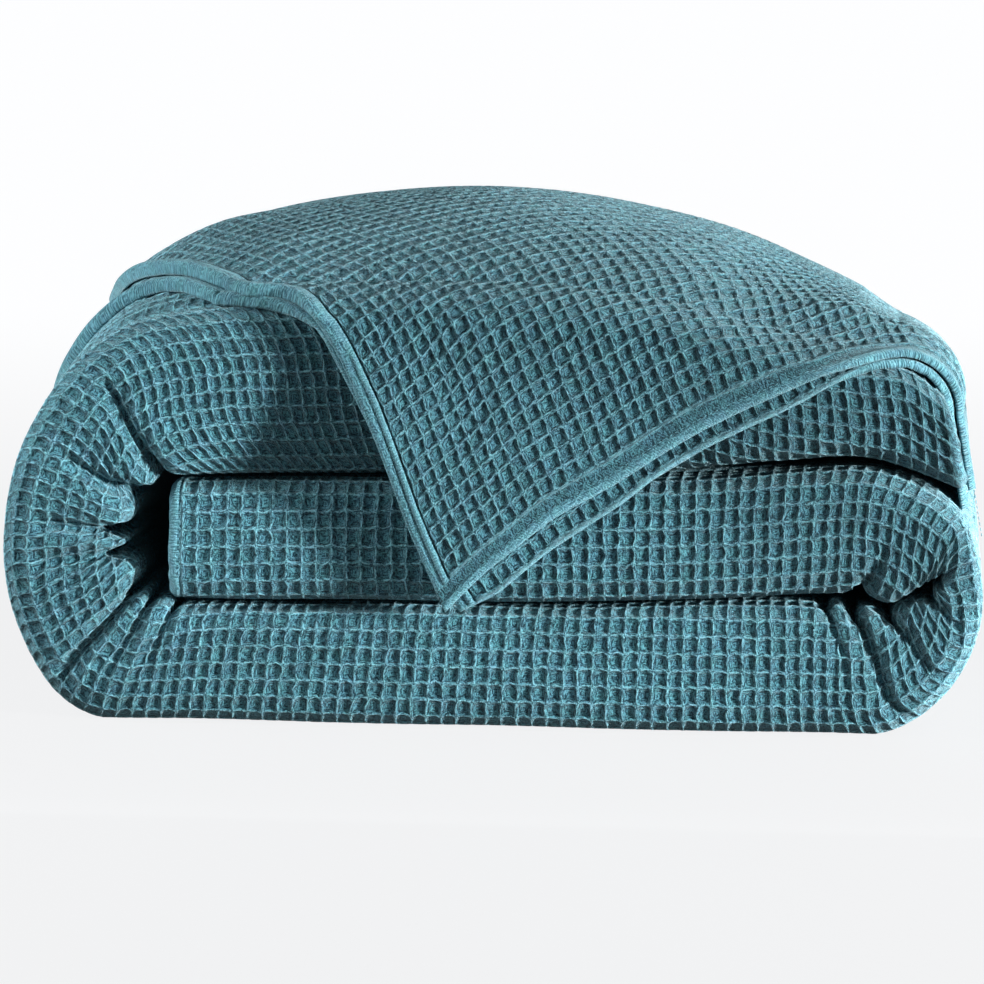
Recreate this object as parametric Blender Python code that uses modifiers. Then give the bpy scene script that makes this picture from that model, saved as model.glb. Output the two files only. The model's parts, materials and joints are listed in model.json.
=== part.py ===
# Waffle weave cotton blanket, folded into a stack.
#
# The blanket is folded lengthwise into a thick strip, and the strip is folded twice:
# a middle band turns down at the right into a bottom band, which turns up at the left
# into a top band. A flap of two plies lies askew over the top and hangs in front.
# X runs along the bands, Y from front to back, Z up. Tables are in millimetres.
import math
from collections import namedtuple

import bmesh
import bpy

MM = 0.001

# Driving dimensions
DEPTH = 320.0  # front to back of the folded strip
FRONT_ROUND = 18.0  # how far back the rounding of the front edge reaches
BACK_ROUND = 7.0  # the same for each layer's fold at the back
ROUND_POWER = 0.55  # below 1 squares off the front rounding
LAYER_GAP = 2.6  # between the layers at the back
SLIT_FRONT = -60.0  # where the gaps between the layers end
END_ROUND = 12.0  # rounding of the strip's two ends
PLY_THICK = 3.0  # one ply of waffle cloth
PLY_CLEAR = 2.2  # gap under each hanging ply
CENTRE_X = 2.8  # moves the strip so that the whole stack stands over the origin
CENTRE_Y = 3.9
CLOTH_COLOUR = (0.075, 0.245, 0.290, 1.0)
CLOTH_ROUGHNESS = 0.92

Y_FRONT = -DEPTH / 2
Y_BACK = DEPTH / 2
CROWN_EDGE = DEPTH / 2 - 14.0  # the crown fades out this far from the middle
OUTER_STEPS = (-132, -95, -35, 35, 95, 132)  # depths of the outer side's points
INNER_STEPS = (40, -75)
FRONT_POINTS = 10  # steps around the rounded front

# One row per rib across the strip, from the middle band's left end to the top band's
# right end. inner faces the next band, outer faces away. crown is the rise of the
# outer side halfway back, slump its drop at the back edge, and steps is the number of
# sections up to the next row.
Rib = namedtuple("Rib", "inner_x inner_z outer_x outer_z crown slump steps")
RIBS = (
    # middle band
    Rib(-169, 63.5, -169, 122.0, 0, 0, 1),
    Rib(-120, 63.0, -120, 123.5, 0, 0, 1),
    Rib(-46, 64.0, -46, 125.0, 0, 0, 1),
    Rib(40, 65.0, 40, 126.0, 0, 0, 1),
    Rib(100, 67.0, 100, 128.0, 0, 0, 2),
    Rib(151, 71.0, 151, 132.0, 0, 0, 2),
    Rib(172, 72.0, 183, 134.0, 0, 0, 2),
    # right fold
    Rib(187, 72.0, 200, 131.5, 0, 0, 2),
    Rib(199, 69.0, 217, 124.5, 0, 0, 3),
    Rib(212, 75.0, 233, 112.0, 0, 0, 3),
    Rib(223, 81.0, 241, 95.0, 0, 0, 2),
    Rib(226, 78.5, 245, 76.0, 0, 0, 2),
    Rib(222, 73.5, 244, 56.0, 0, 0, 3),
    Rib(212, 67.0, 238, 38.0, 0, 0, 3),
    Rib(203, 62.0, 227, 21.0, 0, 0, 2),
    Rib(192, 61.0, 211, 7.0, 0, 0, 3),
    Rib(180, 63.0, 193, 0.0, 0, 0, 4),
    # bottom band
    Rib(160, 66.0, 168, 0.0, 0, 0, 1),
    Rib(120, 65.0, 120, 0.0, 0, 0, 1),
    Rib(40, 61.5, 40, 0.0, 0, 0, 1),
    Rib(-46, 60.5, -46, 0.0, 0, 0, 1),
    Rib(-110, 59.5, -115, 0.0, 0, 0, 2),
    Rib(-148, 59.0, -165, 0.0, 0, 0, 3),
    # left fold
    Rib(-167, 59.5, -200, 0.0, 0, 0, 3),
    Rib(-177, 64.0, -222, 11.0, 0, 0, 3),
    Rib(-183, 70.0, -237, 32.0, 0, 0, 3),
    Rib(-186, 78.0, -247, 57.0, 0, 0, 3),
    Rib(-188, 86.0, -250.5, 79.0, 0, 0, 3),
    Rib(-189, 94.0, -250, 98.0, 0, 0, 3),
    Rib(-188, 102.0, -247, 117.0, 0, 0, 3),
    Rib(-186, 110.0, -241, 137.0, 0, 0, 3),
    Rib(-183, 117.0, -232, 155.0, 2, 0, 3),
    Rib(-178, 123.0, -220, 173.0, 5, 0, 3),
    Rib(-169, 126.0, -204, 190.0, 9, 0, 3),
    # top band
    Rib(-152, 126.5, -181, 204.0, 14, 0, 2),
    Rib(-124, 127.0, -146, 211.0, 22, 0, 1),
    Rib(-90, 127.5, -97, 214.0, 30, 0, 1),
    Rib(-30, 128.5, -30, 216.0, 34, 0, 1),
    Rib(30, 129.5, 30, 215.0, 31, 0, 1),
    Rib(90, 131.5, 90, 208.0, 24, 0, 1),
    Rib(140, 135.0, 138, 198.0, 14, 4, 1),
    Rib(180, 138.0, 178, 186.0, 6, 11, 1),
    Rib(204, 133.5, 202, 179.0, 2, 17, 1),
    Rib(222, 125.0, 222, 173.0, 0, 20, 1),
)

# Creases pressed into the inner side of the folds. rib counts rows of RIBS from 0;
# lean shifts the crease's outer end, in rows; reach is how much of the band it crosses.
Crease = namedtuple("Crease", "rib width depth reach lean")
CREASES = (
    Crease(6.67, 0.35, 7.0, 0.45, 1.2),
    Crease(10.0, 0.40, 5.0, 0.50, 0.0),
    Crease(12.33, 0.50, 4.0, 0.60, 0.0),
    Crease(14.5, 0.40, 6.0, 0.65, -1.0),
    Crease(16.0, 0.40, 8.0, 0.85, -1.1),
    Crease(16.75, 0.30, 5.0, 0.50, -0.6),
    Crease(22.67, 0.30, 5.0, 0.50, 0.0),
    Crease(23.67, 0.30, 6.0, 0.50, -0.5),
    Crease(24.67, 0.40, 12.0, 0.95, -0.6),
    Crease(27.0, 0.35, 8.0, 0.55, 0.0),
    Crease(28.33, 0.35, 11.0, 0.80, 0.0),
    Crease(31.0, 0.40, 10.0, 0.65, -0.7),
    Crease(33.0, 0.45, 12.0, 0.75, 0.0),
)

THIN_BAND = 40.0  # creases get shallower where the band is thinner than this

# The layers of the strip, as they show at the back: where each begins and ends
# between the inner side (0) and the outer side (1), and how far its fold stops short.
Layer = namedtuple("Layer", "low high short")
LAYERS = (
    Layer(0.0, 0.31, 6.0),
    Layer(0.31, 0.66, 0.0),
    Layer(0.66, 1.0, 4.0),
)

# The outline of each of the flap's plies, a row for each distance over the top from
# its front edge (below zero it hangs down the front): where its left and right hems lie.
Hem = namedtuple("Hem", "over left right")
UPPER_HEMS = (
    Hem(-156, -19, -10),
    Hem(-120, -33, 34),
    Hem(-66, -59, 106),
    Hem(-12, -85, 170),
    Hem(0, -94, 185),
    Hem(14, -120, 198),
    Hem(27, -132, 214),
    Hem(42, -140, 246),
    Hem(56, -147, 280),
    Hem(90, -162, 277),
    Hem(160, -192, 267),
    Hem(290, -244, 243),
)
LOWER_HEMS = (
    Hem(-156, -13, 2),
    Hem(-120, -33, 45),
    Hem(-66, -59, 116),
    Hem(-12, -86, 179),
    Hem(-2, -104, 191),
    Hem(6, -144, 199),
    Hem(16, -160, 207),
    Hem(28, -168, 222),
    Hem(42, -176, 254),
    Hem(56, -183, 286),
    Hem(100, -203, 282),
    Hem(160, -226, 272),
    Hem(290, -262, 247),
)

ProfilePoint = namedtuple("ProfilePoint", "x z crown slump inner_x inner_z")

# Ripples of the flap: centre along and over, height and radius
Ripple = namedtuple("Ripple", "along over height radius")
RIPPLES = (
    Ripple(-150, 110, 5.0, 34),
    Ripple(-112, 45, 3.0, 26),
    Ripple(-70, -70, 2.5, 40),
    Ripple(5, -140, 4.0, 45),
    Ripple(120, -40, 2.5, 40),
)

# Rows of the flap's sheet, as distances over the top
FLAP_ROWS = (-154, -146, -125, -95, -62, -32, -15, -8, -3, 2, 7, 13, 20, 27, 31, 35, 39, 43,
             48, 55, 80, 130, 190, 250, 288)
TOP_COLUMNS = 13  # the flap's columns of points on the top, over the bend and below it
BEND_COLUMNS = 4
HANG_COLUMNS = 3
COLUMN_POWER = 1.25  # sets the top's columns closer together on the left shoulder
TUCK_COLUMNS = 12  # the flap's back edge is tucked in up to this column
BEND_MARGIN = 20.0  # the bend's columns keep this far from the right hem
HANG_MARGIN = 9.0
FLAP_FIRST_RIB = 27  # the flap's profile starts at this row of RIBS
FRONT_BEND = 16.0  # bend radius over the top band's front edge
END_BEND_START = 209.0  # the flap bends down over the top band's right end from here
END_BEND = 14.0
END_LEAN = 0.3  # the plies lean outward below that bend
BACK_EDGE = Y_BACK - 4.0  # the top layer's fold at the back
BACK_BEND = 6.0
TUCK_LEAST = 10.0  # how far down the back each ply goes before it tucks in, at least
TUCK_IN = 11.0  # how far each ply reaches into the layer that holds it
LOWER_TUCK = 0.17  # where across the top band each ply tucks in, from its outer side
UPPER_TUCK = 0.50


def smooth(table, position):
    # Catmull-Rom curve through the rows of a table, at a fractional row
    last = len(table) - 1
    row = min(max(int(math.floor(position)), 0), last - 1)
    t = position - row
    p0 = table[max(row - 1, 0)]
    p1 = table[row]
    p2 = table[row + 1]
    p3 = table[min(row + 2, last)]
    values = []
    for a, b, c, d in zip(p0, p1, p2, p3):
        slope_1 = (c - a) / 2
        slope_2 = (d - b) / 2
        value = ((2 * t ** 3 - 3 * t ** 2 + 1) * b + (t ** 3 - 2 * t ** 2 + t) * slope_1
                 + (-2 * t ** 3 + 3 * t ** 2) * c + (t ** 3 - t ** 2) * slope_2)
        values.append(value)
    return values


def between(table, key, position, column):
    # A column's value where the key column has the given position
    for low, high in zip(table, table[1:]):
        if position <= getattr(high, key):
            break
    span = getattr(high, key) - getattr(low, key)
    t = (position - getattr(low, key)) / span
    return getattr(low, column) * (1 - t) + getattr(high, column) * t


def power(value, exponent):
    # A power that keeps the value's sign
    return math.copysign(abs(value) ** exponent, value)


def crown_shape(y):
    # Share of the crown at a depth, from 0 at the front and back edges to 1
    return max(0.0, 1 - (y / CROWN_EDGE) ** 2) ** 0.8


def slump_shape(y):
    # Share of the slump at a depth, from 0 at the front edge to 1 at the back
    return min(1.0, max(0.0, (y - Y_FRONT) / DEPTH)) ** 1.6


def crease_depth(position, across):
    # How deep the creases are at a rib position; across runs from 0, inner, to 1, outer
    depth = 0.0
    for crease in CREASES:
        offset = (position - crease.rib - crease.lean * across) / crease.width
        if abs(offset) > 3 or across > crease.reach:
            continue
        fade = (1 - across / crease.reach) ** 0.7
        depth += crease.depth * fade * math.exp(-offset * offset * 1.5)
    return depth


def section(rib, position, inset):
    # One closed section of the strip, as (x, y, z) points in its rib's plane
    inner_x, inner_z, outer_x, outer_z, crown, slump = rib
    outer_z = max(0.0, outer_z)
    height = math.hypot(outer_x - inner_x, outer_z - inner_z)
    along_x = (outer_x - inner_x) / height
    along_z = (outer_z - inner_z) / height
    half = height / 2
    gap = min(LAYER_GAP, 0.12 * height)
    outline = []  # (y, distance from the inner side)

    front_round = min(FRONT_ROUND, 0.45 * height)
    for i in range(FRONT_POINTS + 1):
        angle = math.pi * (i / FRONT_POINTS - 0.5)
        forward = power(math.cos(angle), ROUND_POWER) if i % FRONT_POINTS else 0.0
        upward = power(math.sin(angle), ROUND_POWER)
        dent = crease_depth(position, i / FRONT_POINTS) * min(1.0, height / THIN_BAND)
        y = Y_FRONT + front_round * (1 - forward) + dent * math.cos(angle)
        under = dent * 0.8 * max(0.0, -math.sin(angle))
        outline.append((y, half + half * upward + under))
    for y in OUTER_STEPS:
        outline.append((y, height + crown * crown_shape(y) - slump * slump_shape(y)))
    back_height = height - slump
    for layer in reversed(LAYERS):
        high = layer.high * back_height - (gap / 2 if layer.high < 1 else 0)
        low = layer.low * back_height + (gap / 2 if layer.low > 0 else 0)
        back = Y_BACK - layer.short
        turn = min(BACK_ROUND, 0.45 * (high - low))
        outline.append((back - turn, high))
        outline.append((back, high - 0.7 * turn))
        outline.append((back, low + 0.7 * turn))
        outline.append((back - turn, low))
        if layer.low > 0:
            middle = layer.low * height
            outline.append((SLIT_FRONT, middle + gap * 0.3))
            outline.append((SLIT_FRONT, middle - gap * 0.3))
    outline += [(y, 0.0) for y in INNER_STEPS]

    points = []
    for y, across in outline:
        across = half + (across - half) * (1 - inset / half)
        y = y * (1 - inset / Y_BACK)
        points.append((inner_x + along_x * across, y, max(0.0, inner_z + along_z * across)))
    return points


def end_sections(position, direction):
    # Shrinking sections that round off an end of the strip
    rib = smooth(RIBS, position)[:-1]
    sections = []
    for angle in (90, 60, 30):
        turn = math.radians(angle)
        inset = END_ROUND * 0.75 * (1 - math.cos(turn))
        outward = END_ROUND * 0.8 * (math.sin(turn) - 1)
        moved = list(rib)
        moved[0] += direction * outward
        moved[2] += direction * outward
        sections.append(section(moved, position, inset))
    return sections


def positions():
    # Every section's place, in rows of RIBS
    places = []
    for row, rib in enumerate(RIBS[:-1]):
        places.extend(row + step / rib.steps for step in range(rib.steps))
    places.append(len(RIBS) - 1)
    return places


def add_vert(bm, point):
    x, y, z = point
    return bm.verts.new(((x + CENTRE_X) * MM, (y + CENTRE_Y) * MM, z * MM))


def add_object(name, mesh, collection):
    obj = bpy.data.objects.new(name, mesh)
    collection.objects.link(obj)
    return obj


def make_strip(collection):
    places = positions()
    last = len(RIBS) - 1
    sections = end_sections(0, -1)
    sections += [section(smooth(RIBS, p)[:-1], p, 0.0) for p in places if 0 < p < last]
    sections += reversed(end_sections(last, 1))
    bm = bmesh.new()
    rings = [[add_vert(bm, point) for point in ring] for ring in sections]
    count = len(rings[0])
    for ring, following in zip(rings, rings[1:]):
        for i in range(count):
            j = (i + 1) % count
            bm.faces.new((ring[i], ring[j], following[j], following[i]))
    bm.faces.new(list(reversed(rings[0])))
    bm.faces.new(rings[-1])
    bmesh.ops.recalc_face_normals(bm, faces=bm.faces)
    bmesh.ops.triangulate(bm, faces=bm.faces)
    mesh = bpy.data.meshes.new("strip")
    bm.to_mesh(mesh)
    bm.free()
    mesh.shade_smooth()
    return add_object("blanket", mesh, collection)


def flap_profile():
    # The line that the flap follows from left to right: the outer side of the left
    # fold's upper half and of the top band, then a bend and down past the right end
    line = []
    for row in range(FLAP_FIRST_RIB * 4, (len(RIBS) - 1) * 4 + 1):
        rib = smooth(RIBS, row / 4)
        if rib[2] > END_BEND_START:
            break
        line.append(ProfilePoint(rib[2], rib[3], rib[4], rib[5], rib[0], rib[1]))
    start = line[-1]
    bend_start = len(line) - 1
    for step in range(1, 7):
        turn = math.pi / 2 * step / 6
        x = start.x + END_BEND * math.sin(turn)
        z = start.z - END_BEND * (1 - math.cos(turn))
        line.append(start._replace(x=x, z=z, crown=start.crown * (1 - step / 6)))
    bend_end = len(line) - 1
    end = line[bend_end]
    line += [end._replace(x=end.x + drop * END_LEAN, z=end.z - drop) for drop in (15, 30, 45, 60)]
    along = [0.0]
    for low, high in zip(line, line[1:]):
        along.append(along[-1] + math.hypot(high.x - low.x, high.z - low.z))
    for low, high, distance, following in zip(line, line[1:], along, along[1:]):
        if low.x <= 0 < high.x:
            zero = distance - (following - distance) * low.x / (high.x - low.x)
    along = [distance - zero for distance in along]
    return line, along, along[bend_start], along[bend_end]


def on_profile(profile, distance, lift, y):
    # The x and z of the profile at a distance, moved off the cloth below by lift,
    # and the profile's own point there
    line, along = profile[:2]
    row = 0
    while row < len(line) - 2 and along[row + 1] < distance:
        row += 1
    t = (distance - along[row]) / (along[row + 1] - along[row])
    point = ProfilePoint(*(a * (1 - t) + b * t for a, b in zip(line[row], line[row + 1])))
    back = line[max(row - 1, 0)]
    ahead = line[min(row + 2, len(line) - 1)]
    length = math.hypot(ahead.x - back.x, ahead.z - back.z)
    off = lift + point.crown * crown_shape(y)
    x = point.x - (ahead.z - back.z) / length * off
    z = point.z + (ahead.x - back.x) / length * off - point.slump * slump_shape(y)
    return x, z, point


def over_top(over, lift):
    # Depth and drop of the flap for a distance over the top from the front edge
    radius = FRONT_BEND + lift
    quarter = FRONT_BEND * math.pi / 4
    if over < -quarter:
        return Y_FRONT - lift, FRONT_BEND - over - quarter
    if over < quarter:
        turn = (over + quarter) / (2 * quarter) * math.pi / 2
        return Y_FRONT + FRONT_BEND - radius * math.cos(turn), FRONT_BEND * (1 - math.sin(turn))
    return Y_FRONT + FRONT_BEND + over - quarter, 0.0


def ripple_height(distance, over):
    height = 0.0
    for ripple in RIPPLES:
        gap = math.hypot(distance - ripple.along, over - ripple.over) / ripple.radius
        height += ripple.height * math.exp(-gap * gap)
    return height


def flap_point(profile, distance, over, lift):
    lift = lift + ripple_height(distance, over)
    y, drop = over_top(over, lift)
    x, z, _ = on_profile(profile, distance, lift, y)
    return x, y, z - drop


def tuck_points(profile, row, lift, depth):
    # Rows that take the flap over the back edge, down, and into a layer of the top band
    bottom = BACK_EDGE + lift
    path = []
    for angle in (15, 40, 65, 90):
        turn = math.radians(angle)
        path.append((BACK_EDGE - BACK_BEND + (BACK_BEND + lift) * math.sin(turn),
                     (BACK_BEND + lift) * (1 - math.cos(turn)), 0.0))
    path.append((bottom, lift - 3.0, 1.0))
    path.append((bottom - 2.5, lift - 0.6, 1.0))
    path.append((BACK_EDGE - TUCK_IN, lift, 1.0))
    rows = []
    for y, down, tucked in path:
        points = []
        for distance in row:
            x, z, point = on_profile(profile, distance, lift, y)
            height = math.hypot(point.inner_x - point.x, point.inner_z - point.z + point.slump)
            drop = down + tucked * max(TUCK_LEAST, depth * height)
            points.append((x + (point.inner_x - point.x) / height * drop, y,
                           z + (point.inner_z - point.z + point.slump) / height * drop))
        rows.append(points)
    return rows


def flap_row(profile, over, hems):
    # Distances along the profile from the left hem to the right hem of one row
    bend_start, bend_end = profile[2:]
    left = between(hems, "over", over, "left")
    right = between(hems, "over", over, "right")
    split_1 = min(bend_start, right - min(BEND_MARGIN, 0.5 * (right - left)))
    split_2 = min(bend_end, right - min(HANG_MARGIN, 0.2 * (right - left)))
    row = [left + (split_1 - left) * (i / TOP_COLUMNS) ** COLUMN_POWER
           for i in range(TOP_COLUMNS)]
    row += [split_1 + (split_2 - split_1) * i / BEND_COLUMNS for i in range(BEND_COLUMNS)]
    row += [split_2 + (right - split_2) * i / HANG_COLUMNS for i in range(HANG_COLUMNS + 1)]
    return row


def make_ply(name, collection, lift, hems, depth):
    profile = flap_profile()
    grid = []
    for over in FLAP_ROWS:
        row = flap_row(profile, over, hems)
        grid.append([flap_point(profile, distance, over, lift) for distance in row])
    grid += tuck_points(profile, row[:TUCK_COLUMNS + 1], lift, depth)
    bm = bmesh.new()
    rows = [[add_vert(bm, point) for point in points] for points in grid]
    for row, following in zip(rows, rows[1:]):
        for i in range(len(following) - 1):
            bm.faces.new((row[i], row[i + 1], following[i + 1], following[i]))
    mesh = bpy.data.meshes.new(name)
    bm.to_mesh(mesh)
    bm.free()
    ply = add_object(name, mesh, collection)
    solidify = ply.modifiers.new("thickness", "SOLIDIFY")
    solidify.thickness = PLY_THICK * MM
    solidify.offset = 0.0
    return ply


def cloth_material():
    material = bpy.data.materials.new("teal cotton")
    material.use_nodes = True
    shader = material.node_tree.nodes["Principled BSDF"]
    shader.inputs["Base Color"].default_value = CLOTH_COLOUR
    shader.inputs["Roughness"].default_value = CLOTH_ROUGHNESS
    shader.inputs["Metallic"].default_value = 0.0
    material.diffuse_color = CLOTH_COLOUR
    return material


def main():
    for obj in list(bpy.data.objects):
        bpy.data.objects.remove(obj)
    collection = bpy.data.collections.new("waffle blanket")
    bpy.context.scene.collection.children.link(collection)
    joined = bpy.data.collections.new("joined pieces")
    bpy.context.scene.collection.children.link(joined)
    blanket = make_strip(collection)
    blanket.data.materials.append(cloth_material())
    lower_lift = PLY_CLEAR + PLY_THICK / 2
    upper_lift = lower_lift + PLY_THICK + PLY_CLEAR
    plies = (
        make_ply("lower ply", joined, lower_lift, LOWER_HEMS, LOWER_TUCK),
        make_ply("upper ply", joined, upper_lift, UPPER_HEMS, UPPER_TUCK),
    )
    for ply in plies:
        ply.hide_render = True
        ply.display_type = "WIRE"
        join = blanket.modifiers.new(ply.name, "BOOLEAN")
        join.operation = "UNION"
        join.object = ply


main()
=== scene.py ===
import functools
import json
import math

import bmesh
import bpy
import numpy as np
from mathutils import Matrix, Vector

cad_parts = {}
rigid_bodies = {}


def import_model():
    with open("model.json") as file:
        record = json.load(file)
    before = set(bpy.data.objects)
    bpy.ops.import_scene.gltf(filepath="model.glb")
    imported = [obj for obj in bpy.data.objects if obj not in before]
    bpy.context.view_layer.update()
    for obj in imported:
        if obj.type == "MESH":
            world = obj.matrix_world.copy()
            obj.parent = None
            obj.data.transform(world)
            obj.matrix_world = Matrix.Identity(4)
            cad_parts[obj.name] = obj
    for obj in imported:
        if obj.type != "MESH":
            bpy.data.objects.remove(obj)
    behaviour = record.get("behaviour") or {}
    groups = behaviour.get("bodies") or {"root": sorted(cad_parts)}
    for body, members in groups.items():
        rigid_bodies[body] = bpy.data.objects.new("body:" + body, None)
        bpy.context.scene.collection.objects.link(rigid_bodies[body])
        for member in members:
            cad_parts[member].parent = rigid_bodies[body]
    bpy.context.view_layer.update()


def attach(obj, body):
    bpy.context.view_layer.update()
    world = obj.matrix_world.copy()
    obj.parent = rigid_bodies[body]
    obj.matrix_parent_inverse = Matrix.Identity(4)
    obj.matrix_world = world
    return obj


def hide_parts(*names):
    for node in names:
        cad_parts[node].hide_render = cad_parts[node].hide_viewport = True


for thing in list(bpy.data.objects):  # the startup cube, lamp and camera
    bpy.data.objects.remove(thing)
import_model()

# Folded waffle weave blanket. The long strip is folded into a middle band, a bottom band and a
# top band, and two plies of the blanket's corner lie askew over the top. All tables are in
# millimetres, in the same frame as the solid.

placing = {"centreX": 2.8, "centreY": 3.9, "scale": 0.001}

strip = {
    "yFront": -160.0,
    "yBack": 160.0,
    "frontRound": 18.0,  # depth of the rounding of the front edge
    "backRound": 9.0,
    "roundPower": 0.55,
    "layerGap": 2.6,
    "slitDepth": 30.0,  # how far the gaps between the layers are followed
    "endRound": 5.0,
    # distance from the end, height and lightness of the hem there
    "hem": ((9.0, 0.0, 0.0), (8.1, -0.5, -0.2), (7.5, 0.1, 0.3), (6.9, 0.2, 0.45), (6.3, -0.2, 0.1),
            (5.6, 0.3, 0.5), (4.2, 0.5, 0.55), (2.6, 0.5, 0.6), (1.2, 0.4, 0.7), (0.4, 0.2, 0.7),
            (0.0, 0.0, 0.5)),
    "bluntEnd": ((2.4, 0.0, 0.0), (1.6, -0.3, 0.0), (0.9, -0.8, 0.0), (0.3, -1.6, 0.0),
                 (0.0, -2.4, 0.0)),
    "crownEdge": 146.0,
    "puff": 3.5,  # swelling of the lobes between the creases
    "layers": ((0.0, 0.31, 6.0), (0.31, 0.66, 0.0), (0.66, 1.0, 4.0)),  # low, high, short
    "anchors": (4.0, 18.2, 21.4, 37.3),  # rows of the rib table where the columns stand upright
    "anchorLean": (0.0, 0.0, 0.0, 18.0),  # and how far their inner ends are shifted there
    # rib rows and how far the middle band's upper front and the top band's lower front are set back
    "middleBack": ((0, 8.0), (2.0, 8.0), (3.4, 2.5), (4.8, 2.0), (6.2, 0.0)),
    "topBack": ((33.6, 0.0), (35.0, 8.0), (36.0, 15.0), (38.2, 15.0), (39.6, 3.0), (43.0, 3.0)),
    # and how high the top band swells just behind its front edge, over what depths it rises,
    # and how far back it has gone
    "swell": ((38.5, 0.0), (40.0, 5.0), (41.0, 11.0), (42.0, 9.0), (43.0, 4.0)),
    "swellRise": (-146.0, -116.0),
    "swellLength": 260,
    "creaseFade": 26,  # depth over which the creases fade past the front rounding
    "backCrease": (22, 14, 0.3),  # at the back: where they start, over what depth, how deep
    # rows up to which the columns fan out beside an anchor: row, its anchor, how much the
    # inner side is gathered
    "fans": ((5.6, 0, 1.08), (17.2, 1, 1.08), (22.3, 2, 1.15), (33.7, 3, 1.31)),
}

weave = {
    "column": 7.65,  # pitch of the cells along the strip
    "row": 8.75,  # and across it
    "flapColumn": 7.65,
    "flapRow": 8.35,
    "ridgeHeight": 0.65,
    "cellDepth": 1.0,
    "ridgeWidth": 0.075,  # in cells
    "cellSquareness": 5.0,  # 2 would make round cells
    "bowl": (0.45, 0.62),  # slope of a cell's floor and its depth at the ridge
    "wave": 0.7,  # slow unevenness of the surface, in mm
    "unevenness": 0.45,
    "nodeJitter": 0.34,
    "bow": 0.40,  # how far the ridges bow between crossings
    "seed": 7,
    "frontSteps": (0.0, 0.085, 0.25, 0.5, 0.75, 0.915),  # the mesh lines of a cell
    "sideSteps": (0.0, 0.13, 0.5, 0.87),
    "flapSteps": (0.0, 0.09, 0.30, 0.70, 0.91),
}

# inner x, inner z, outer x, outer z, crown, slump
ribs = np.array([
    # middle band
    (-165, 63.5, -165, 122.0, 0, 0),
    (-120, 63.0, -120, 123.5, 0, 0),
    (-46, 64.0, -46, 125.0, 0, 0),
    (40, 65.0, 40, 126.0, 0, 0),
    (100, 67.0, 100, 128.0, 0, 0),
    (151, 71.0, 151, 132.0, 0, 0),
    (172, 72.0, 183, 134.0, 0, 0),
    # right fold
    (187, 72.0, 200, 131.5, 0, 0),
    (199, 69.0, 217, 124.5, 0, 0),
    (212, 75.0, 233, 112.0, 0, 0),
    (223, 81.0, 241, 95.0, 0, 0),
    (226, 78.5, 245, 76.0, 0, 0),
    (222, 73.5, 244, 56.0, 0, 0),
    (212, 67.0, 238, 38.0, 0, 0),
    (203, 62.0, 227, 21.0, 0, 0),
    (192, 61.0, 211, 7.0, 0, 0),
    (180, 63.0, 193, 0.0, 0, 0),
    # bottom band
    (160, 66.0, 168, 0.0, 0, 0),
    (120, 65.0, 120, 0.0, 0, 0),
    (40, 61.5, 40, 0.0, 0, 0),
    (-46, 60.5, -46, 0.0, 0, 0),
    (-110, 59.5, -115, 0.0, 0, 0),
    (-148, 59.0, -165, 0.0, 0, 0),
    # left fold
    (-167, 59.5, -200, 0.0, 0, 0),
    (-177, 64.0, -222, 11.0, 0, 0),
    (-183, 70.0, -237, 32.0, 0, 0),
    (-186, 78.0, -247, 57.0, 0, 0),
    (-188, 86.0, -250.5, 79.0, 0, 0),
    (-189, 94.0, -250, 98.0, 0, 0),
    (-188, 102.0, -247, 117.0, 0, 0),
    (-186, 110.0, -241, 137.0, 0, 0),
    (-183, 117.0, -232, 155.0, 2, 0),
    (-178, 123.0, -220, 173.0, 5, 0),
    (-169, 126.0, -204, 190.0, 9, 0),
    # top band
    (-152, 126.5, -181, 204.0, 14, 0),
    (-124, 127.0, -146, 211.0, 22, 0),
    (-90, 127.5, -97, 214.0, 30, 0),
    (-30, 128.5, -30, 216.0, 34, 0),
    (30, 129.5, 30, 215.0, 31, 0),
    (90, 132.5, 90, 206.5, 26, 0),
    (140, 137.5, 138, 194.0, 21, 4),
    (180, 141.0, 178, 188.0, 9, 10),
    (204, 136.5, 206, 184.3, -4, 19),
    (234, 125.0, 225, 170.5, -12, 32),
], dtype=float)

# Creases pressed into the inner side of the folds: row of the rib table, width in mm,
# depth, how much of the band it crosses, and how far its outer end is shifted, in rows
creases = (
    (6.67, 3.0, 10.0, 0.50, 1.2),
    (10.0, 3.0, 9.0, 0.50, 0.0),
    (12.33, 3.5, 8.0, 0.58, 0.0),
    (14.5, 3.0, 10.0, 0.62, -1.0),
    (16.0, 3.0, 12.0, 0.80, -1.1),
    (16.75, 2.6, 8.0, 0.55, -0.6),
    (22.67, 2.8, 8.0, 0.52, 0.0),
    (23.67, 2.8, 10.0, 0.55, -0.5),
    (24.67, 3.0, 20.0, 0.76, -0.6),
    (27.0, 3.0, 15.0, 0.58, 0.0),
    (28.33, 3.0, 19.0, 0.57, 0.0),
    (31.0, 3.2, 19.0, 0.54, -0.7),
    (33.0, 3.4, 20.0, 0.60, 0.0),
)


def curveThrough(table, places):
    # Catmull-Rom curve through the rows of a table, at fractional rows
    last = len(table) - 1
    row = np.clip(np.floor(places).astype(int), 0, last - 1)
    t = (places - row)[:, None]
    p0 = table[np.maximum(row - 1, 0)]
    p1 = table[row]
    p2 = table[row + 1]
    p3 = table[np.minimum(row + 2, last)]
    slopeOne = (p2 - p0) / 2
    slopeTwo = (p3 - p1) / 2
    return ((2 * t ** 3 - 3 * t ** 2 + 1) * p1 + (t ** 3 - 2 * t ** 2 + t) * slopeOne
            + (-2 * t ** 3 + 3 * t ** 2) * p2 + (t ** 3 - t ** 2) * slopeTwo)


def unit(vectors):
    return vectors / np.maximum(np.linalg.norm(vectors, axis=-1, keepdims=True), 1e-9)


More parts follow.
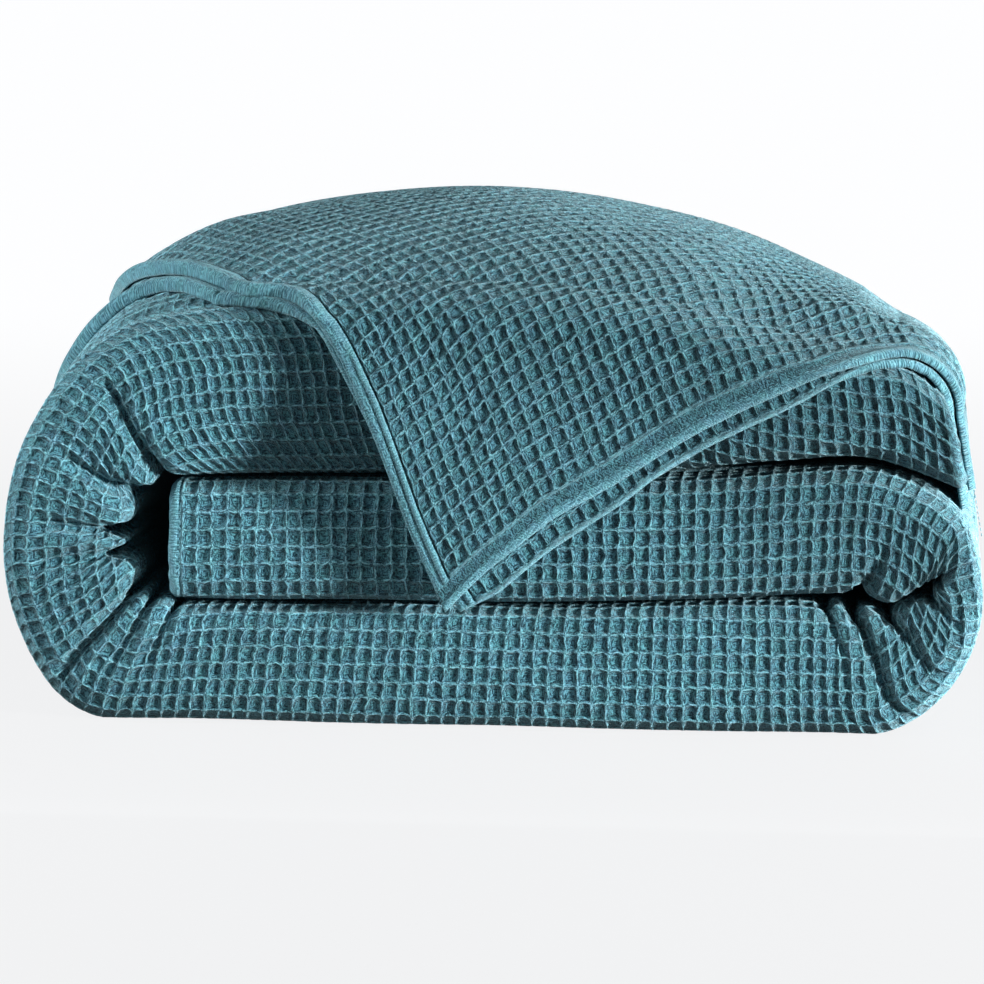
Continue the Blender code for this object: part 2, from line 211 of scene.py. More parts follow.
def signedPower(value, exponent):
    return np.sign(value) * np.abs(value) ** exponent


def smoothStep(value, low, high):
    t = np.clip((value - low) / (high - low), 0, 1)  # low may lie above high
    return t * t * (3 - 2 * t)


def crownShape(y):
    return np.clip(1 - (y / strip["crownEdge"]) ** 2, 0, None) ** 0.8


def swellShape(y):
    start, top = strip["swellRise"]
    return smoothStep(y, start, top) * np.clip(1 - (y - top) / strip["swellLength"], 0, 1)


def slumpShape(y):
    share = (y - strip["yFront"]) / (strip["yBack"] - strip["yFront"])
    return np.clip(share, 0, 1) ** 1.6


# The fine line along the strip that every row of cells is laid on
fineStep = 1 / 96
finePlaces = np.arange(0, len(ribs) - 1 + fineStep / 2, fineStep)
fineRibs = curveThrough(ribs, finePlaces)
fineRibs[:, 3] = np.maximum(fineRibs[:, 3], 0)
across = np.stack((fineRibs[:, 2] - fineRibs[:, 0], fineRibs[:, 3] - fineRibs[:, 1]), axis=1)
bandHeight = np.hypot(across[:, 0], across[:, 1])
acrossUnit = across / bandHeight[:, None]


def summed(steps):
    return np.concatenate(([0.0], np.cumsum(steps)))


def summedRows(y, over):
    # Length along each row of points
    steps = np.hypot(np.diff(y, axis=1), np.diff(over, axis=1))
    return np.concatenate((np.zeros((len(y), 1)), np.cumsum(steps, axis=1)), axis=1)


def alongRibs(name):
    table = np.array(strip[name])
    return np.interp(finePlaces, table[:, 0], table[:, 1])


frontAngles = np.pi / 2 * np.sin(np.linspace(np.pi / 2, -np.pi / 2, 97))  # outer to inner


def frontOutline():
    # Depth, distance from the inner side and arc length of the rounded front, for each rib
    half = bandHeight[:, None] / 2
    rounding = np.minimum(strip["frontRound"], 0.45 * bandHeight)[:, None]
    forward = signedPower(np.cos(frontAngles), strip["roundPower"])[None, :]
    upward = signedPower(np.sin(frontAngles), strip["roundPower"])[None, :]
    y = strip["yFront"] + rounding * (1 - forward)
    over = half + half * upward
    return y, over, summedRows(y, over)


frontY, frontOver, frontLength = frontOutline()


def fingerOutline(layer):
    # The path of one layer's fold at the back: out along its inner side, round and back in
    low, high, short = strip["layers"][layer]
    slump = fineRibs[:, 5] * slumpShape(strip["yBack"])
    backHeight = bandHeight - slump
    gap = np.minimum(strip["layerGap"], 0.12 * bandHeight)
    top = high * backHeight - (gap / 2 if high < 1 else 0)
    bottom = low * backHeight + (gap / 2 if low > 0 else 0)
    back = strip["yBack"] - short
    turn = np.minimum(strip["backRound"], 0.5 * (top - bottom))
    slit = strip["yBack"] - strip["slitDepth"]
    angles = np.linspace(-np.pi / 2, np.pi / 2, 17)
    outward = signedPower(np.cos(angles), 0.8)[None, :]
    upward = signedPower(np.sin(angles), 0.8)[None, :]
    half = ((top - bottom) / 2)[:, None]
    middle = ((top + bottom) / 2)[:, None]
    y = back - turn[:, None] * (1 - outward)
    over = middle + half * upward
    if layer > 0:  # starts at the bottom of the gap below
        y = np.concatenate((np.full((len(y), 1), slit), y), axis=1)
        over = np.concatenate((bottom[:, None], over), axis=1)
    if layer < 2:
        y = np.concatenate((y, np.full((len(y), 1), slit)), axis=1)
        over = np.concatenate((over, top[:, None]), axis=1)
    length = summedRows(y, over)
    return y, over, length / length[:, -1:]


fingers = [fingerOutline(layer) for layer in range(3)]


def interpRows(x, xs, ys):
    # ys at x for every row, where xs grows along each row
    index = np.clip((xs < x).sum(axis=1), 1, xs.shape[1] - 1)
    rows = np.arange(len(xs))
    x0 = xs[rows, index - 1]
    x1 = xs[rows, index]
    t = np.clip((x - x0) / np.maximum(x1 - x0, 1e-9), 0, 1)
    return ys[rows, index - 1] * (1 - t) + ys[rows, index] * t


def station(kind, value):
    # One line round the section, as arrays over the ribs: depth, distance from the inner
    # side, and share of the creases' depth and reach there
    if kind == "outer":  # value runs from 0 at the back to 1 at the front rounding
        start = strip["yBack"] - strip["layers"][2][2] - strip["backRound"]
        end = strip["yFront"] + np.minimum(strip["frontRound"], 0.45 * bandHeight)
        y = start + (end - start) * value
        over = (bandHeight + fineRibs[:, 4] * crownShape(y) + alongRibs("swell") * swellShape(y)
                - fineRibs[:, 5] * slumpShape(y))
        return y, over, np.ones_like(y), np.zeros_like(y)
    if kind == "front":  # value is the arc length from the outer side
        total = frontLength[:, -1]
        y = interpRows(value, frontLength, frontY)
        over = interpRows(value, frontLength, frontOver)
        angle = interpRows(value, frontLength, np.broadcast_to(frontAngles, frontY.shape))
        past = np.maximum(value - total, 0)
        y = y + past
        return y, over, 0.5 + angle / np.pi, np.exp(-past / strip["creaseFade"])
    if kind == "inner":  # from 0 at the end of the front stations to 1 at the back
        past = np.maximum(frontEnd - frontLength[:, -1], 0)
        start = strip["yFront"] + strip["frontRound"] + past
        end = strip["yBack"] - strip["layers"][0][2] - strip["backRound"]
        y = start + (end - start) * value
        fade = np.exp(-past / strip["creaseFade"]) * math.exp(-9 * value)
        return y, np.zeros_like(y), np.zeros_like(y), fade
    layer = int(kind)
    ys, overs, lengths = fingers[layer]
    y = interpRows(value, lengths, ys)
    over = interpRows(value, lengths, overs)
    start, run, deep = strip["backCrease"]
    inward = np.clip((y - (strip["yBack"] - start)) / run, 0, 1)
    return y, over, over / bandHeight, deep * inward


frontEnd = 118.0  # the front's stations run this far from the outer side, in arc length
outerRows = 32
frontRows = frontEnd / weave["row"]
innerRows = 26
fingerRows = 8


def stationList(fineOuter):
    # All lines round the section: kind, value, row coordinate
    fine = weave["frontSteps"]
    plain = (0.0,)
    stations = []
    for row in range(outerRows):
        for part in weave["sideSteps"] if fineOuter or row >= outerRows - 2 else plain:
            stations.append(("outer", (row + part) / outerRows, row + part - outerRows))
    row = 0.0
    while row < frontRows - 0.01:
        for part in fine:
            if row + part < frontRows - 0.01:
                stations.append(("front", (row + part) * weave["row"], row + part))
        row += 1
    for row in range(innerRows):
        stations.append(("inner", row / innerRows, frontRows + row))
    base = frontRows + innerRows
    for layer in range(3):
        for row in range(fingerRows):
            seen = 2 <= row < 6 if layer == 1 else (row < 6 if layer == 0 else row >= 2)
            for part in weave["sideSteps"] if seen else plain:
                value = (row + part) / fingerRows
                stations.append((str(layer), value, base + layer * fingerRows + row + part))
    return stations


def creaseAt(places, share, lengths):
    # Depth of the creases along one line of the strip
    depth = np.zeros_like(places)
    for rib, width, deep, reach, lean in creases:
        centre = rib + lean * np.interp(rib, places, share)
        middle = np.interp(centre, places, lengths)
        there = np.interp(centre, places, share)
        if there > reach:
            continue
        fade = (1 - there / reach) ** 0.7
        offset = np.abs(lengths - middle) / width
        depth += deep * fade * np.exp(-offset ** 1.7)
    return depth


def puffAt(places, share, lengths):
    # Lobes that swell between neighbouring creases
    height = np.zeros_like(places)
    for first, second in zip(creases, creases[1:]):
        gap = second[0] - first[0]
        if gap > 3.5:
            continue
        low, high = np.interp((first[0], second[0]), places, lengths)
        middle = (low + high) / 2
        there = np.interp((first[0] + second[0]) / 2, places, share)
        fade = max(0.0, 1 - there / 0.7)
        wide = max(3.0, 0.33 * (high - low))
        height += strip["puff"] * fade * np.exp(-((lengths - middle) / wide) ** 2)
    return height


def layLine(kind, value):
    # A line along the strip: fine points, inward directions, and cloth length at each
    y, over, share, creaseShare = station(kind, value)
    nudge = 0.5 if kind == "front" else 0.004
    ahead, behind = station(kind, value + nudge), station(kind, value - nudge)
    x = fineRibs[:, 0] + acrossUnit[:, 0] * over
    z = fineRibs[:, 1] + acrossUnit[:, 1] * over
    height = np.clip(over / bandHeight, 0, 1)
    back = (alongRibs("middleBack") * height ** 1.5
            + alongRibs("topBack") * (1 - height) ** 1.3) * smoothStep(y, -50.0, -142.0)
    points = np.stack((x, y + back, z - 0.08 * back), axis=1)
    tangentY = ahead[0] - behind[0]
    tangentOver = ahead[1] - behind[1]
    size = np.maximum(np.hypot(tangentY, tangentOver), 1e-6)
    # the section runs from the outer side's back to the front, down and back, so its
    # inward side lies to the left of the way it runs
    inY = tangentOver / size * -1
    inOver = tangentY / size
    inward = np.stack((acrossUnit[:, 0] * inOver, inY, acrossUnit[:, 1] * inOver), axis=1)
    lengths = summed(np.linalg.norm(np.diff(points, axis=0), axis=1))
    if creaseShare.max() > 0.02:
        depth = creaseAt(finePlaces, share, lengths) * creaseShare
        depth -= puffAt(finePlaces, share, lengths) * creaseShare
        depth *= np.minimum(1, bandHeight / 40)
        points = points + inward * depth[:, None]
        lengths = summed(np.linalg.norm(np.diff(points, axis=0), axis=1))
    return points, inward, lengths


def clothLengths(lengths, outerLengths, share):
    # Cloth coordinate of a line's points, held to the outer line's at the anchors
    anchors = strip["anchors"]
    lean = np.array(strip["anchorLean"]) * (1 - np.interp(anchors, finePlaces, share))
    marks = list(zip(anchors, np.interp(anchors, finePlaces, lengths),
                     np.interp(anchors, finePlaces, outerLengths) - lean))
    for row, anchor, gather in strip["fans"]:
        here = np.interp(row, finePlaces, lengths)
        inner = 1 - np.interp(row, finePlaces, share)
        run = (here - marks[anchor][1]) * (1 + (gather - 1) * inner)
        marks.append((row, here, marks[anchor][2] + run))
    marks.sort()
    first, last = marks[0], marks[-1]
    inside = np.interp(lengths, [m[1] for m in marks], [m[2] for m in marks])
    inside = np.where(finePlaces < first[0], first[2] - (first[1] - lengths), inside)
    return np.where(finePlaces > last[0], last[2] + (lengths - last[1]), inside)


outerLine = layLine("front", 0.0)[2]
clothEnd = outerLine[-1]
columnCount = int(clothEnd / weave["column"])
print("strip: outer line", round(clothEnd, 1), "mm,", columnCount, "columns of cells")

random = np.random.RandomState(weave["seed"])
shiftRows, shiftColumns = 140, columnCount + 8
firstShift = (-40, -3)  # row and column of the first shift
nodeShift = random.normal(0, 1, (2, 2 * shiftRows, 2 * shiftColumns))


def shiftAt(part, rows, columns):
    # Uneven shift of the ridges: random at crossings and half way, blended between
    table = nodeShift[part]
    r = (rows - firstShift[0]) * 2
    c = (columns - firstShift[1]) * 2
    r0 = np.clip(np.floor(r).astype(int), 0, table.shape[0] - 2)
    c0 = np.clip(np.floor(c).astype(int), 0, table.shape[1] - 2)
    tr = np.clip(r - r0, 0, 1)
    tc = np.clip(c - c0, 0, 1)
    top = table[r0, c0] * (1 - tc) + table[r0, c0 + 1] * tc
    low = table[r0 + 1, c0] * (1 - tc) + table[r0 + 1, c0 + 1] * tc
    return top * (1 - tr) + low * tr


def waves(rows, columns):
    # Slow unevenness of a hand folded cloth, from -1 to 1
    return (np.sin(columns * 0.31 + 1.3 * np.sin(rows * 0.23)) * 0.5
            + np.sin(columns * 0.13 + rows * 0.37 + 2.0) * 0.3
            + np.sin(rows * 0.71 - columns * 0.09) * 0.2)


def layGrid(stations, columns):
    # Points of a stretch of the strip: a row for each station, a column for each place
    grid = np.zeros((len(stations), len(columns), 3))
    rise = np.zeros_like(grid)
    reach = columns * weave["column"]
    for row, (kind, value, _) in enumerate(stations):
        points, inward, lengths = layLine(kind, value)
        cloth = clothLengths(lengths, outerLine, station(kind, value)[2])
        for axis in range(3):
            grid[row, :, axis] = np.interp(reach, cloth, points[:, axis])
            rise[row, :, axis] = -np.interp(reach, cloth, inward[:, axis])
    return grid, rise


def gridWays(grid):
    # Steps along the strip and round its section
    return np.gradient(grid, axis=1), np.roll(grid, -1, axis=0) - np.roll(grid, 1, axis=0)


def surfaceRise(grid, guide):
    # Directions square to a grid of points, on the side that the guide points to
    rise = np.cross(*gridWays(grid))
    size = np.linalg.norm(rise, axis=2, keepdims=True)
    rise = np.where(size > 1e-9, rise / np.maximum(size, 1e-9), guide)
    turned = (rise * guide).sum(axis=2, keepdims=True)
    return np.where(turned < 0, -rise, rise)


def clothMesh(name, grid, place, rise, hem, ends):
    # A tube from a grid of points in millimetres, with the weave's place on every point
    rows, columns = grid.shape[:2]
    scale = placing["scale"]
    shifted = grid + (placing["centreX"], placing["centreY"], 0)
    points = shifted.reshape(-1, 3) * scale
    index = np.arange(rows * columns).reshape(rows, columns)
    after = np.roll(index, -1, axis=0)
    faces = np.stack((index[:, :-1], after[:, :-1], after[:, 1:], index[:, 1:]), axis=-1)
    faces = faces.reshape(-1, 4).tolist()
    if ends[0]:
        faces.append(index[::-1, 0].tolist())
    if ends[1]:
        faces.append(index[:, -1].tolist())
    mesh = bpy.data.meshes.new(name)
    mesh.from_pydata(points.tolist(), [], faces)
    for label, values in (("weavePlace", place), ("rise", rise), ("hemPlace", hem)):
        mesh.attributes.new(label, "FLOAT_VECTOR", "POINT")
        mesh.attributes[label].data.foreach_set("vector", values.reshape(-1))
    if any(ends):
        bm = bmesh.new()
        bm.from_mesh(mesh)
        bmesh.ops.triangulate(bm, faces=[f for f in bm.faces if len(f.verts) > 4])
        bm.to_mesh(mesh)
        bm.free()
    return mesh


def roundEnd(grid, rise, place, rib, room, hem):
    # Rings that carry the strip over one of its ends, from the last column of cells outward
    first = rib < 1
    last, inside = (0, 1) if first else (-1, -2)
    ring, before, rows = grid[:, last], grid[:, inside], place[:, last]
    outward = unit((ring - before).mean(axis=0))
    values = curveThrough(ribs, np.array([rib]))[0]
    inner = np.array((values[0], 0, values[1]))
    over = np.array((values[2], 0, values[3])) - inner
    height = np.linalg.norm(over)
    over /= height
    reach = ring @ over - inner @ over
    points, rises, places, hems = [], [], [], []
    radius = strip["endRound"]
    normal = rise[:, last]
    normal = unit(normal - outward * (normal @ outward)[:, None])
    for distance, raised, tone in hem:
        if distance > room - 0.3:
            continue
        turn = math.sqrt(max(0.0, 1 - max(0.0, 1 - distance / radius) ** 2))
        inset = radius * 0.9 * (1 - turn)
        squeezed = height / 2 + (reach - height / 2) * (1 - 2 * inset / height)
        ringHere = ring + over * (squeezed - reach)[:, None]
        ringHere = ringHere * (1, 1 - inset / strip["yBack"], 1)
        ringHere = ringHere + outward * (room - distance) + normal * raised
        tilt = max(0.0, 1 - distance / radius)
        direction = normal * (1 - tilt) + outward * tilt
        points.append(ringHere)
        rises.append(unit(direction))
        here = rows.copy()
        here[:, 0] += (room - distance) / weave["column"] * (-1 if first else 1)
        here[:, 2] = 0
        places.append(here)
        hems.append(np.stack((rows[:, 1] * weave["row"], np.full(len(rows), tone),
                              np.zeros(len(rows))), axis=1))
    return [np.stack(values, axis=1) for values in (points, rises, places, hems)]


def stripPiece(name, firstColumn, lastColumn, fineOuter, firstEnd=False, lastEnd=False):
    fine = weave["frontSteps"]
    columns = [column + part for column in range(firstColumn, lastColumn) for part in fine]
    columns = np.array([columns[0] - 0.1] + columns + [lastColumn, lastColumn + 0.1])
    stations = stationList(fineOuter)
    grid, guide = layGrid(stations, columns)
    rowPlace = np.array([s[2] for s in stations])
    place = np.zeros_like(grid)
    place[:, :, 0] = columns[None, :]
    place[:, :, 1] = rowPlace[:, None]
    coarse = np.array([s[0] == "inner" or (s[0] == "outer" and not fineOuter and s[2] < -2)
                       for s in stations])
    place[:, :, 2] = np.where(coarse, 0.0, 1.0)[:, None]
    # uneven ridges
    alongUnit, downUnit = map(unit, gridWays(grid))
    rowGrid = np.broadcast_to(rowPlace[:, None], grid.shape[:2])
    columnGrid = np.broadcast_to(columns[None, :], grid.shape[:2])
    sideways = weave["nodeJitter"] * shiftAt(0, rowGrid, columnGrid)
    sideways = sideways + weave["bow"] * np.sin(np.pi * rowGrid) ** 2
    downward = weave["nodeJitter"] * shiftAt(1, rowGrid, columnGrid)
    downward = downward + weave["bow"] * np.sin(np.pi * columnGrid) ** 2
    strength = place[:, :, 2]
    grid = grid + alongUnit * (sideways * strength)[:, :, None]
    grid = grid + downUnit * (downward * strength)[:, :, None]
    rise = surfaceRise(grid, guide)
    grid = grid + rise * (weave["wave"] * waves(rowGrid, columnGrid) * strength)[:, :, None]
    grid, rise, place = grid[:, 1:-1], rise[:, 1:-1], place[:, 1:-1]
    hem = np.zeros_like(grid)
    if firstEnd:
        made = roundEnd(grid, rise, place, 0.0, firstColumn * weave["column"], strip["hem"])
        grid, rise, place, hem = [np.concatenate((a[:, ::-1], b), axis=1)
                                  for a, b in zip(made, (grid, rise, place, hem))]
    if lastEnd:
        made = roundEnd(grid, rise, place, len(ribs) - 1.0,
                        clothEnd - lastColumn * weave["column"], strip["bluntEnd"])
        grid, rise, place, hem = [np.concatenate((b, a), axis=1)
                                  for a, b in zip(made, (grid, rise, place, hem))]
    return clothMesh(name, grid, place, rise, hem, (firstEnd, lastEnd))


flap = {
    "firstRib": 27.0,  # the flap's line starts at this row of the rib table
    "endBendStart": 200.0,  # where it bends down over the top band's right end
    "endBend": 25.0,
    "endLean": 0.18,
    "frontBend": 16.0,
    "backEdge": 156.0,
    "backBend": 6.0,
    "tuckIn": 13.0,
    "standOff": 7.0,  # of its hanging corner
    "plyThick": 3.0,
    "hemSwell": 1.2,  # how much lower the underside lies at the hems
    "freeFrom": 204.0,  # past this the flap's back edge hangs free
    "freeEdge": 288.0,
    "hemReach": 55.0,  # how far in from the left hem its bends are felt
    "rollStart": 120.0,  # the left hem rolls up beyond this distance from the corner
    "rollHeight": 3.4,
    "rollWidth": 7.6,
    "rollRun": 45,
    "hemBlend": 1.5,  # width over which a hem goes over into the cells
    "hemSoftness": (4.0, 5.0),  # of the corners in the left and right hems' tables
    "calm": 40.0,  # and of the line that carries the rows of cells
    "leftWay": (-0.3, 0.95),  # how the hems go on past their tables' ends
    "rightWay": (0.94, 0.34),
    "layerGap": 2.2,  # between the top band and the plies
    "hiddenFrom": (45, 32),  # the upper ply covers the lower one this far in from its hems
    "thinning": 0.9,
    "cells": (60, 66),  # laid out each way from the corner, before the far edges are cut
    "reach": (330, 420),  # no cell is kept beyond this distance along and over
    "rim": ((0, 0.25, 0.8, 2.0), (-2.3, -1.3, -0.2, 9)),  # distance from an edge, height there
}
quarterBend = flap["frontBend"] * math.pi / 4

# Hems of the plies from their corner: distance over the top's front edge (below zero it
# hangs down the front) and distance along the top
upperLeft = (
    (-161.2, -20.9), (-119.6, -39.0), (-91.9, -49.3), (-65.7, -59.6), (-32, -74.4),
    (-18.9, -81.8),
    (-9.1, -88.7), (-3.3, -94.3), (0.5, -99.5), (2.9, -106), (3.4, -114.4), (4.4, -122.7),
    (8, -130), (15.6, -140.5), (23.3, -147.5), (34, -155.5), (48.2, -166.9), (64.4, -179),
    (100, -198),
    (160, -220), (290, -246))
upperRight = (
    (-161.2, -20.9), (-144.7, -3.8), (-131, 12.2), (-112.5, 30.5), (-105.8, 38.9),
    (-87.1, 64.3),
    (-72.9, 81.3), (-55.6, 103.5), (-36.9, 128.7), (-19.3, 155.1), (-12.3, 167), (-5.2, 179.7),
    (0.9, 192), (6.5, 202.6), (11, 215.6), (14, 228.5), (18, 245), (24, 265), (32, 283))
upperBottom = ((32, 283), (90, 279), (160, 269), (290, 249))
lowerLeft = (
    (-157, -14), (-120, -36), (-66, -59), (-12, -86), (-1, -104), (4, -122), (8, -138),
    (14, -147.5),
    (28.1, -159), (38, -168), (46, -178), (52, -192), (60, -215), (68, -240), (84, -258),
    (110, -264),
    (160, -266), (290, -268))
lowerRight = (
    (-157, -14), (-148.6, 5.1), (-124, 30.4), (-116.2, 39), (-100.4, 57.9), (-92.6, 67.3),
    (-77.9, 82),
    (-60.4, 104.7), (-41.7, 130.1), (-23.9, 155.9), (-14.7, 167.6), (-5.8, 180.4), (1.1, 192),
    (6, 202.6), (9.5, 215.6), (12, 228.5), (15, 247), (19, 265), (24, 281), (29, 292))
lowerBottom = ((29, 292), (100, 287), (160, 277), (290, 255))

# centre along and over, height and radius of each ripple
ripples = ((-150, 110, 5.0, 34), (-112, 45, 3.0, 26), (-66, -78, 6.5, 36), (5, -140, 4.0, 45),
           (120, -40, 2.5, 40))


def flapLine():
    # The line the flap follows: the left fold's upper half, the top band, and down its right end
    start = int(flap["firstRib"] / fineStep)
    rows = np.column_stack((fineRibs, alongRibs("swell")))[start::6]
    rows = rows[rows[:, 2] <= flap["endBendStart"]]
    line = [tuple(row) for row in rows]
    last = line[-1]
    bendStart = len(line) - 1
    for step in range(1, 25):
        turn = math.pi / 2 * step / 24
        slump = last[5] + (ribs[-1, 5] - last[5]) * step / 24
        line.append((last[0], last[1], last[2] + flap["endBend"] * math.sin(turn),
                     last[3] - flap["endBend"] * (1 - math.cos(turn)), last[4], slump,
                     last[6] * math.cos(turn)))
    end = line[-1]
    bendEnd = len(line) - 1
    for drop in range(2, 90, 2):
        line.append((end[0], end[1], end[2] + drop * flap["endLean"], end[3] - drop, *end[4:]))
    line = np.array(line)
    along = summed(np.hypot(np.diff(line[:, 2]), np.diff(line[:, 3])))
    rising = line[:bendStart, 2]
    along -= np.interp(0.0, rising, along[:bendStart])
    return line, along, along[bendStart], along[bendEnd]


topLine, topAlong, bendStart, bendEnd = flapLine()
topTangent = unit(np.gradient(topLine[:, 2:4], axis=0))
for smoothing in range(3):
    topTangent[1:-1] = (topTangent[:-2] + 2 * topTangent[1:-1] + topTangent[2:]) / 4
topTangent = unit(topTangent)


def rippleHeight(along, over):
    height = np.zeros_like(along)
    for centre, there, rise, radius in ripples:
        height += rise * np.exp(-((along - centre) ** 2 + (over - there) ** 2) / radius ** 2)
    return height


def flapPoints(along, over, lift, tuckShare):
    # Places on the flap's sheet, from the distance along the top band and over its front edge
    lift = lift + rippleHeight(along, over)
    stand = flap["standOff"] * smoothStep(over, -32, -95)
    radius = flap["frontBend"] + lift
    turn = np.clip((over + quarterBend) / (2 * quarterBend), 0, 1) * math.pi / 2
    hanging = np.maximum(-over - quarterBend, 0)
    past = np.maximum(over - quarterBend, 0)
    y = strip["yFront"] + flap["frontBend"] - radius * np.cos(turn) + past - stand
    drop = flap["frontBend"] * (1 - np.sin(turn)) + hanging

    # over the back edge, down, and into a layer of the top band
    backStart = flap["backEdge"] - flap["backBend"]
    beyond = np.maximum(y - backStart, 0)
    wide = flap["backBend"] + lift
    bend = np.minimum(beyond / wide, math.pi / 2)
    straight = np.maximum(beyond - wide * math.pi / 2, 0)
    values = [np.interp(along, topAlong, topLine[:, column]) for column in range(7)]
    innerX, innerZ, outerX, outerZ, crown, slump, swell = values
    height = np.hypot(innerX - outerX, innerZ - outerZ + slump)
    deep = np.maximum(10.0, tuckShare * height) - 3.0 - flap["backBend"]
    down = np.minimum(straight, deep)
    inside = np.clip(straight - deep, 0, flap["tuckIn"])
    y = np.where(beyond > 0, backStart + wide * np.sin(bend) - inside, y)
    drop2 = np.where(beyond > 0, wide * (1 - np.cos(bend)) + down, 0.0)

    off = lift + crown * crownShape(y) + swell * swellShape(y)
    tangentX = np.interp(along, topAlong, topTangent[:, 0])
    tangentZ = np.interp(along, topAlong, topTangent[:, 1])
    x = outerX - tangentZ * off
    z = outerZ + tangentX * off - slump * slumpShape(y) - drop
    x = x + (innerX - outerX) / height * drop2
    z = z + (innerZ - outerZ + slump) / height * drop2
    return np.stack((x, y, z), axis=-1)


def surfaceOver(over, lift):
    # Distance over the front edge along a ply's own surface, longer round the bend
    bent = np.clip(over, -quarterBend, quarterBend) + quarterBend
    return over + bent * lift / flap["frontBend"]


def plainOver(over, lift):
    # The same distance over the sheet's middle line
    places = np.array([-400.0, -quarterBend, quarterBend, 700.0])
    return np.interp(over, surfaceOver(places, lift), places)


def softPath(rows, soften):
    # Points a millimetre apart through a table's rows, with the corners softened
    rows = np.array(rows, dtype=float)
    length = summed(np.hypot(*np.diff(rows, axis=0).T))
    even = np.arange(0, length[-1], 1.0)
    line = np.stack([np.interp(even, length, rows[:, k]) for k in (1, 0)], axis=1)
    return softened(line, soften)


def softened(line, soften):
    reach = int(3 * soften)
    weight = np.exp(-(np.arange(-reach, reach + 1) / soften) ** 2 / 2)
    weight /= weight.sum()
    padded = np.concatenate((2 * line[0] - line[reach:0:-1], line,
                             2 * line[-1] - line[-2:-reach - 2:-1]))
    return np.stack([np.convolve(padded[:, k], weight, "valid") for k in (0, 1)], axis=1)


def hemCurve(line, lift):
    # Distances along and over of a hem with its true length at each point
    points = flapPoints(line[:, 0], line[:, 1], lift, 0.3)
    line = np.stack((line[:, 0], surfaceOver(line[:, 1], lift)), axis=1)
    return line, summed(np.linalg.norm(np.diff(points, axis=0), axis=1))


def calmCurve(curve, soften):
    # The way the rows of cells advance away from a hem that wavers: the same length, less bent
    line, length = curve
    way = unit(softened(np.gradient(line, length, axis=0), soften))
    steps = np.diff(length)[:, None] * (way[1:] + way[:-1]) / 2
    return np.concatenate((line[:1], line[0] + np.cumsum(steps, axis=0))), length


def hemAt(curve, distance, direction):
    line, length = curve
    past = np.maximum(distance - length[-1], 0)
    along = np.interp(distance, length, line[:, 0]) + past * direction[0]
    over = np.interp(distance, length, line[:, 1]) + past * direction[1]
    return along, over


# Hems, by the distance from their edge: height above the sheet and how much lighter (above zero) or
# darker (below zero) the cloth is drawn there
plainHem = np.array([
    (0, -2.2, 0.3), (0.3, -1.1, 0.35), (1.0, -0.2, 0.35), (2.6, 0.3, 0.3), (4.6, 0.2, 0.25),
    (5.9, -0.3, 0.1), (6.5, 0.3, 0.8), (7.3, 1.0, 1.0), (8.8, 1.1, 1.0), (9.5, 0.4, 0.9),
    (10.0, -0.9, -0.5), (10.8, -0.7, -0.35)])
turnedHem = np.array([
    (0, -2.0, 0.3), (0.25, -1.0, 0.35), (0.8, -0.2, 0.45), (2.0, 0.35, 0.45), (3.4, 0.4, 0.4),
    (4.5, 0.15, 0.1), (5.2, -0.4, -0.3), (7.0, -0.45, -0.25), (8.8, -0.4, -0.2),
    (10.3, -0.3, -0.25), (11.0, 0.4, 0.45)])
selvage = np.array([(0, -1.6, 0.4), (0.25, -0.8, 0.6), (0.8, 0.2, 0.8), (1.4, 0.5, 0.7)])


def plyCurves(hems, lift):
    left, right = [hemCurve(softPath(hem, soften), lift)
                   for hem, soften in zip(hems, flap["hemSoftness"])]
    return left, calmCurve(left, flap["calm"]), right


def laidOut(curves, across, away, lift):
    # Along and over of the places that far from a ply's two hems: the calm line carries the
    # rows of cells, and the hem's own line bends those beside it
    left, calm, right = curves
    corner = left[0][0]
    leftAlong, leftOver = hemAt(left, away, flap["leftWay"])
    calmAlong, calmOver = hemAt(calm, away, flap["leftWay"])
    rightAlong, rightOver = hemAt(right, across, flap["rightWay"])
    nearby = np.exp(-(across / flap["hemReach"]) ** 2)
    along = calmAlong + (leftAlong - calmAlong) * nearby + rightAlong - corner[0]
    over = calmOver + (leftOver - calmOver) * nearby + rightOver - corner[1]
    return along, plainOver(over, lift)


def plySurface(along, over, lift, tuckShare):
    # Places in the middle of a ply, and the way up there
    step = 0.4
    points = flapPoints(along, over, lift, tuckShare)
    alongStep = (flapPoints(along + step, over, lift, tuckShare)
                 - flapPoints(along - step, over, lift, tuckShare))
    overStep = (flapPoints(along, over + step, lift, tuckShare)
                - flapPoints(along, over - step, lift, tuckShare))
    return points, unit(np.cross(alongStep, overStep))


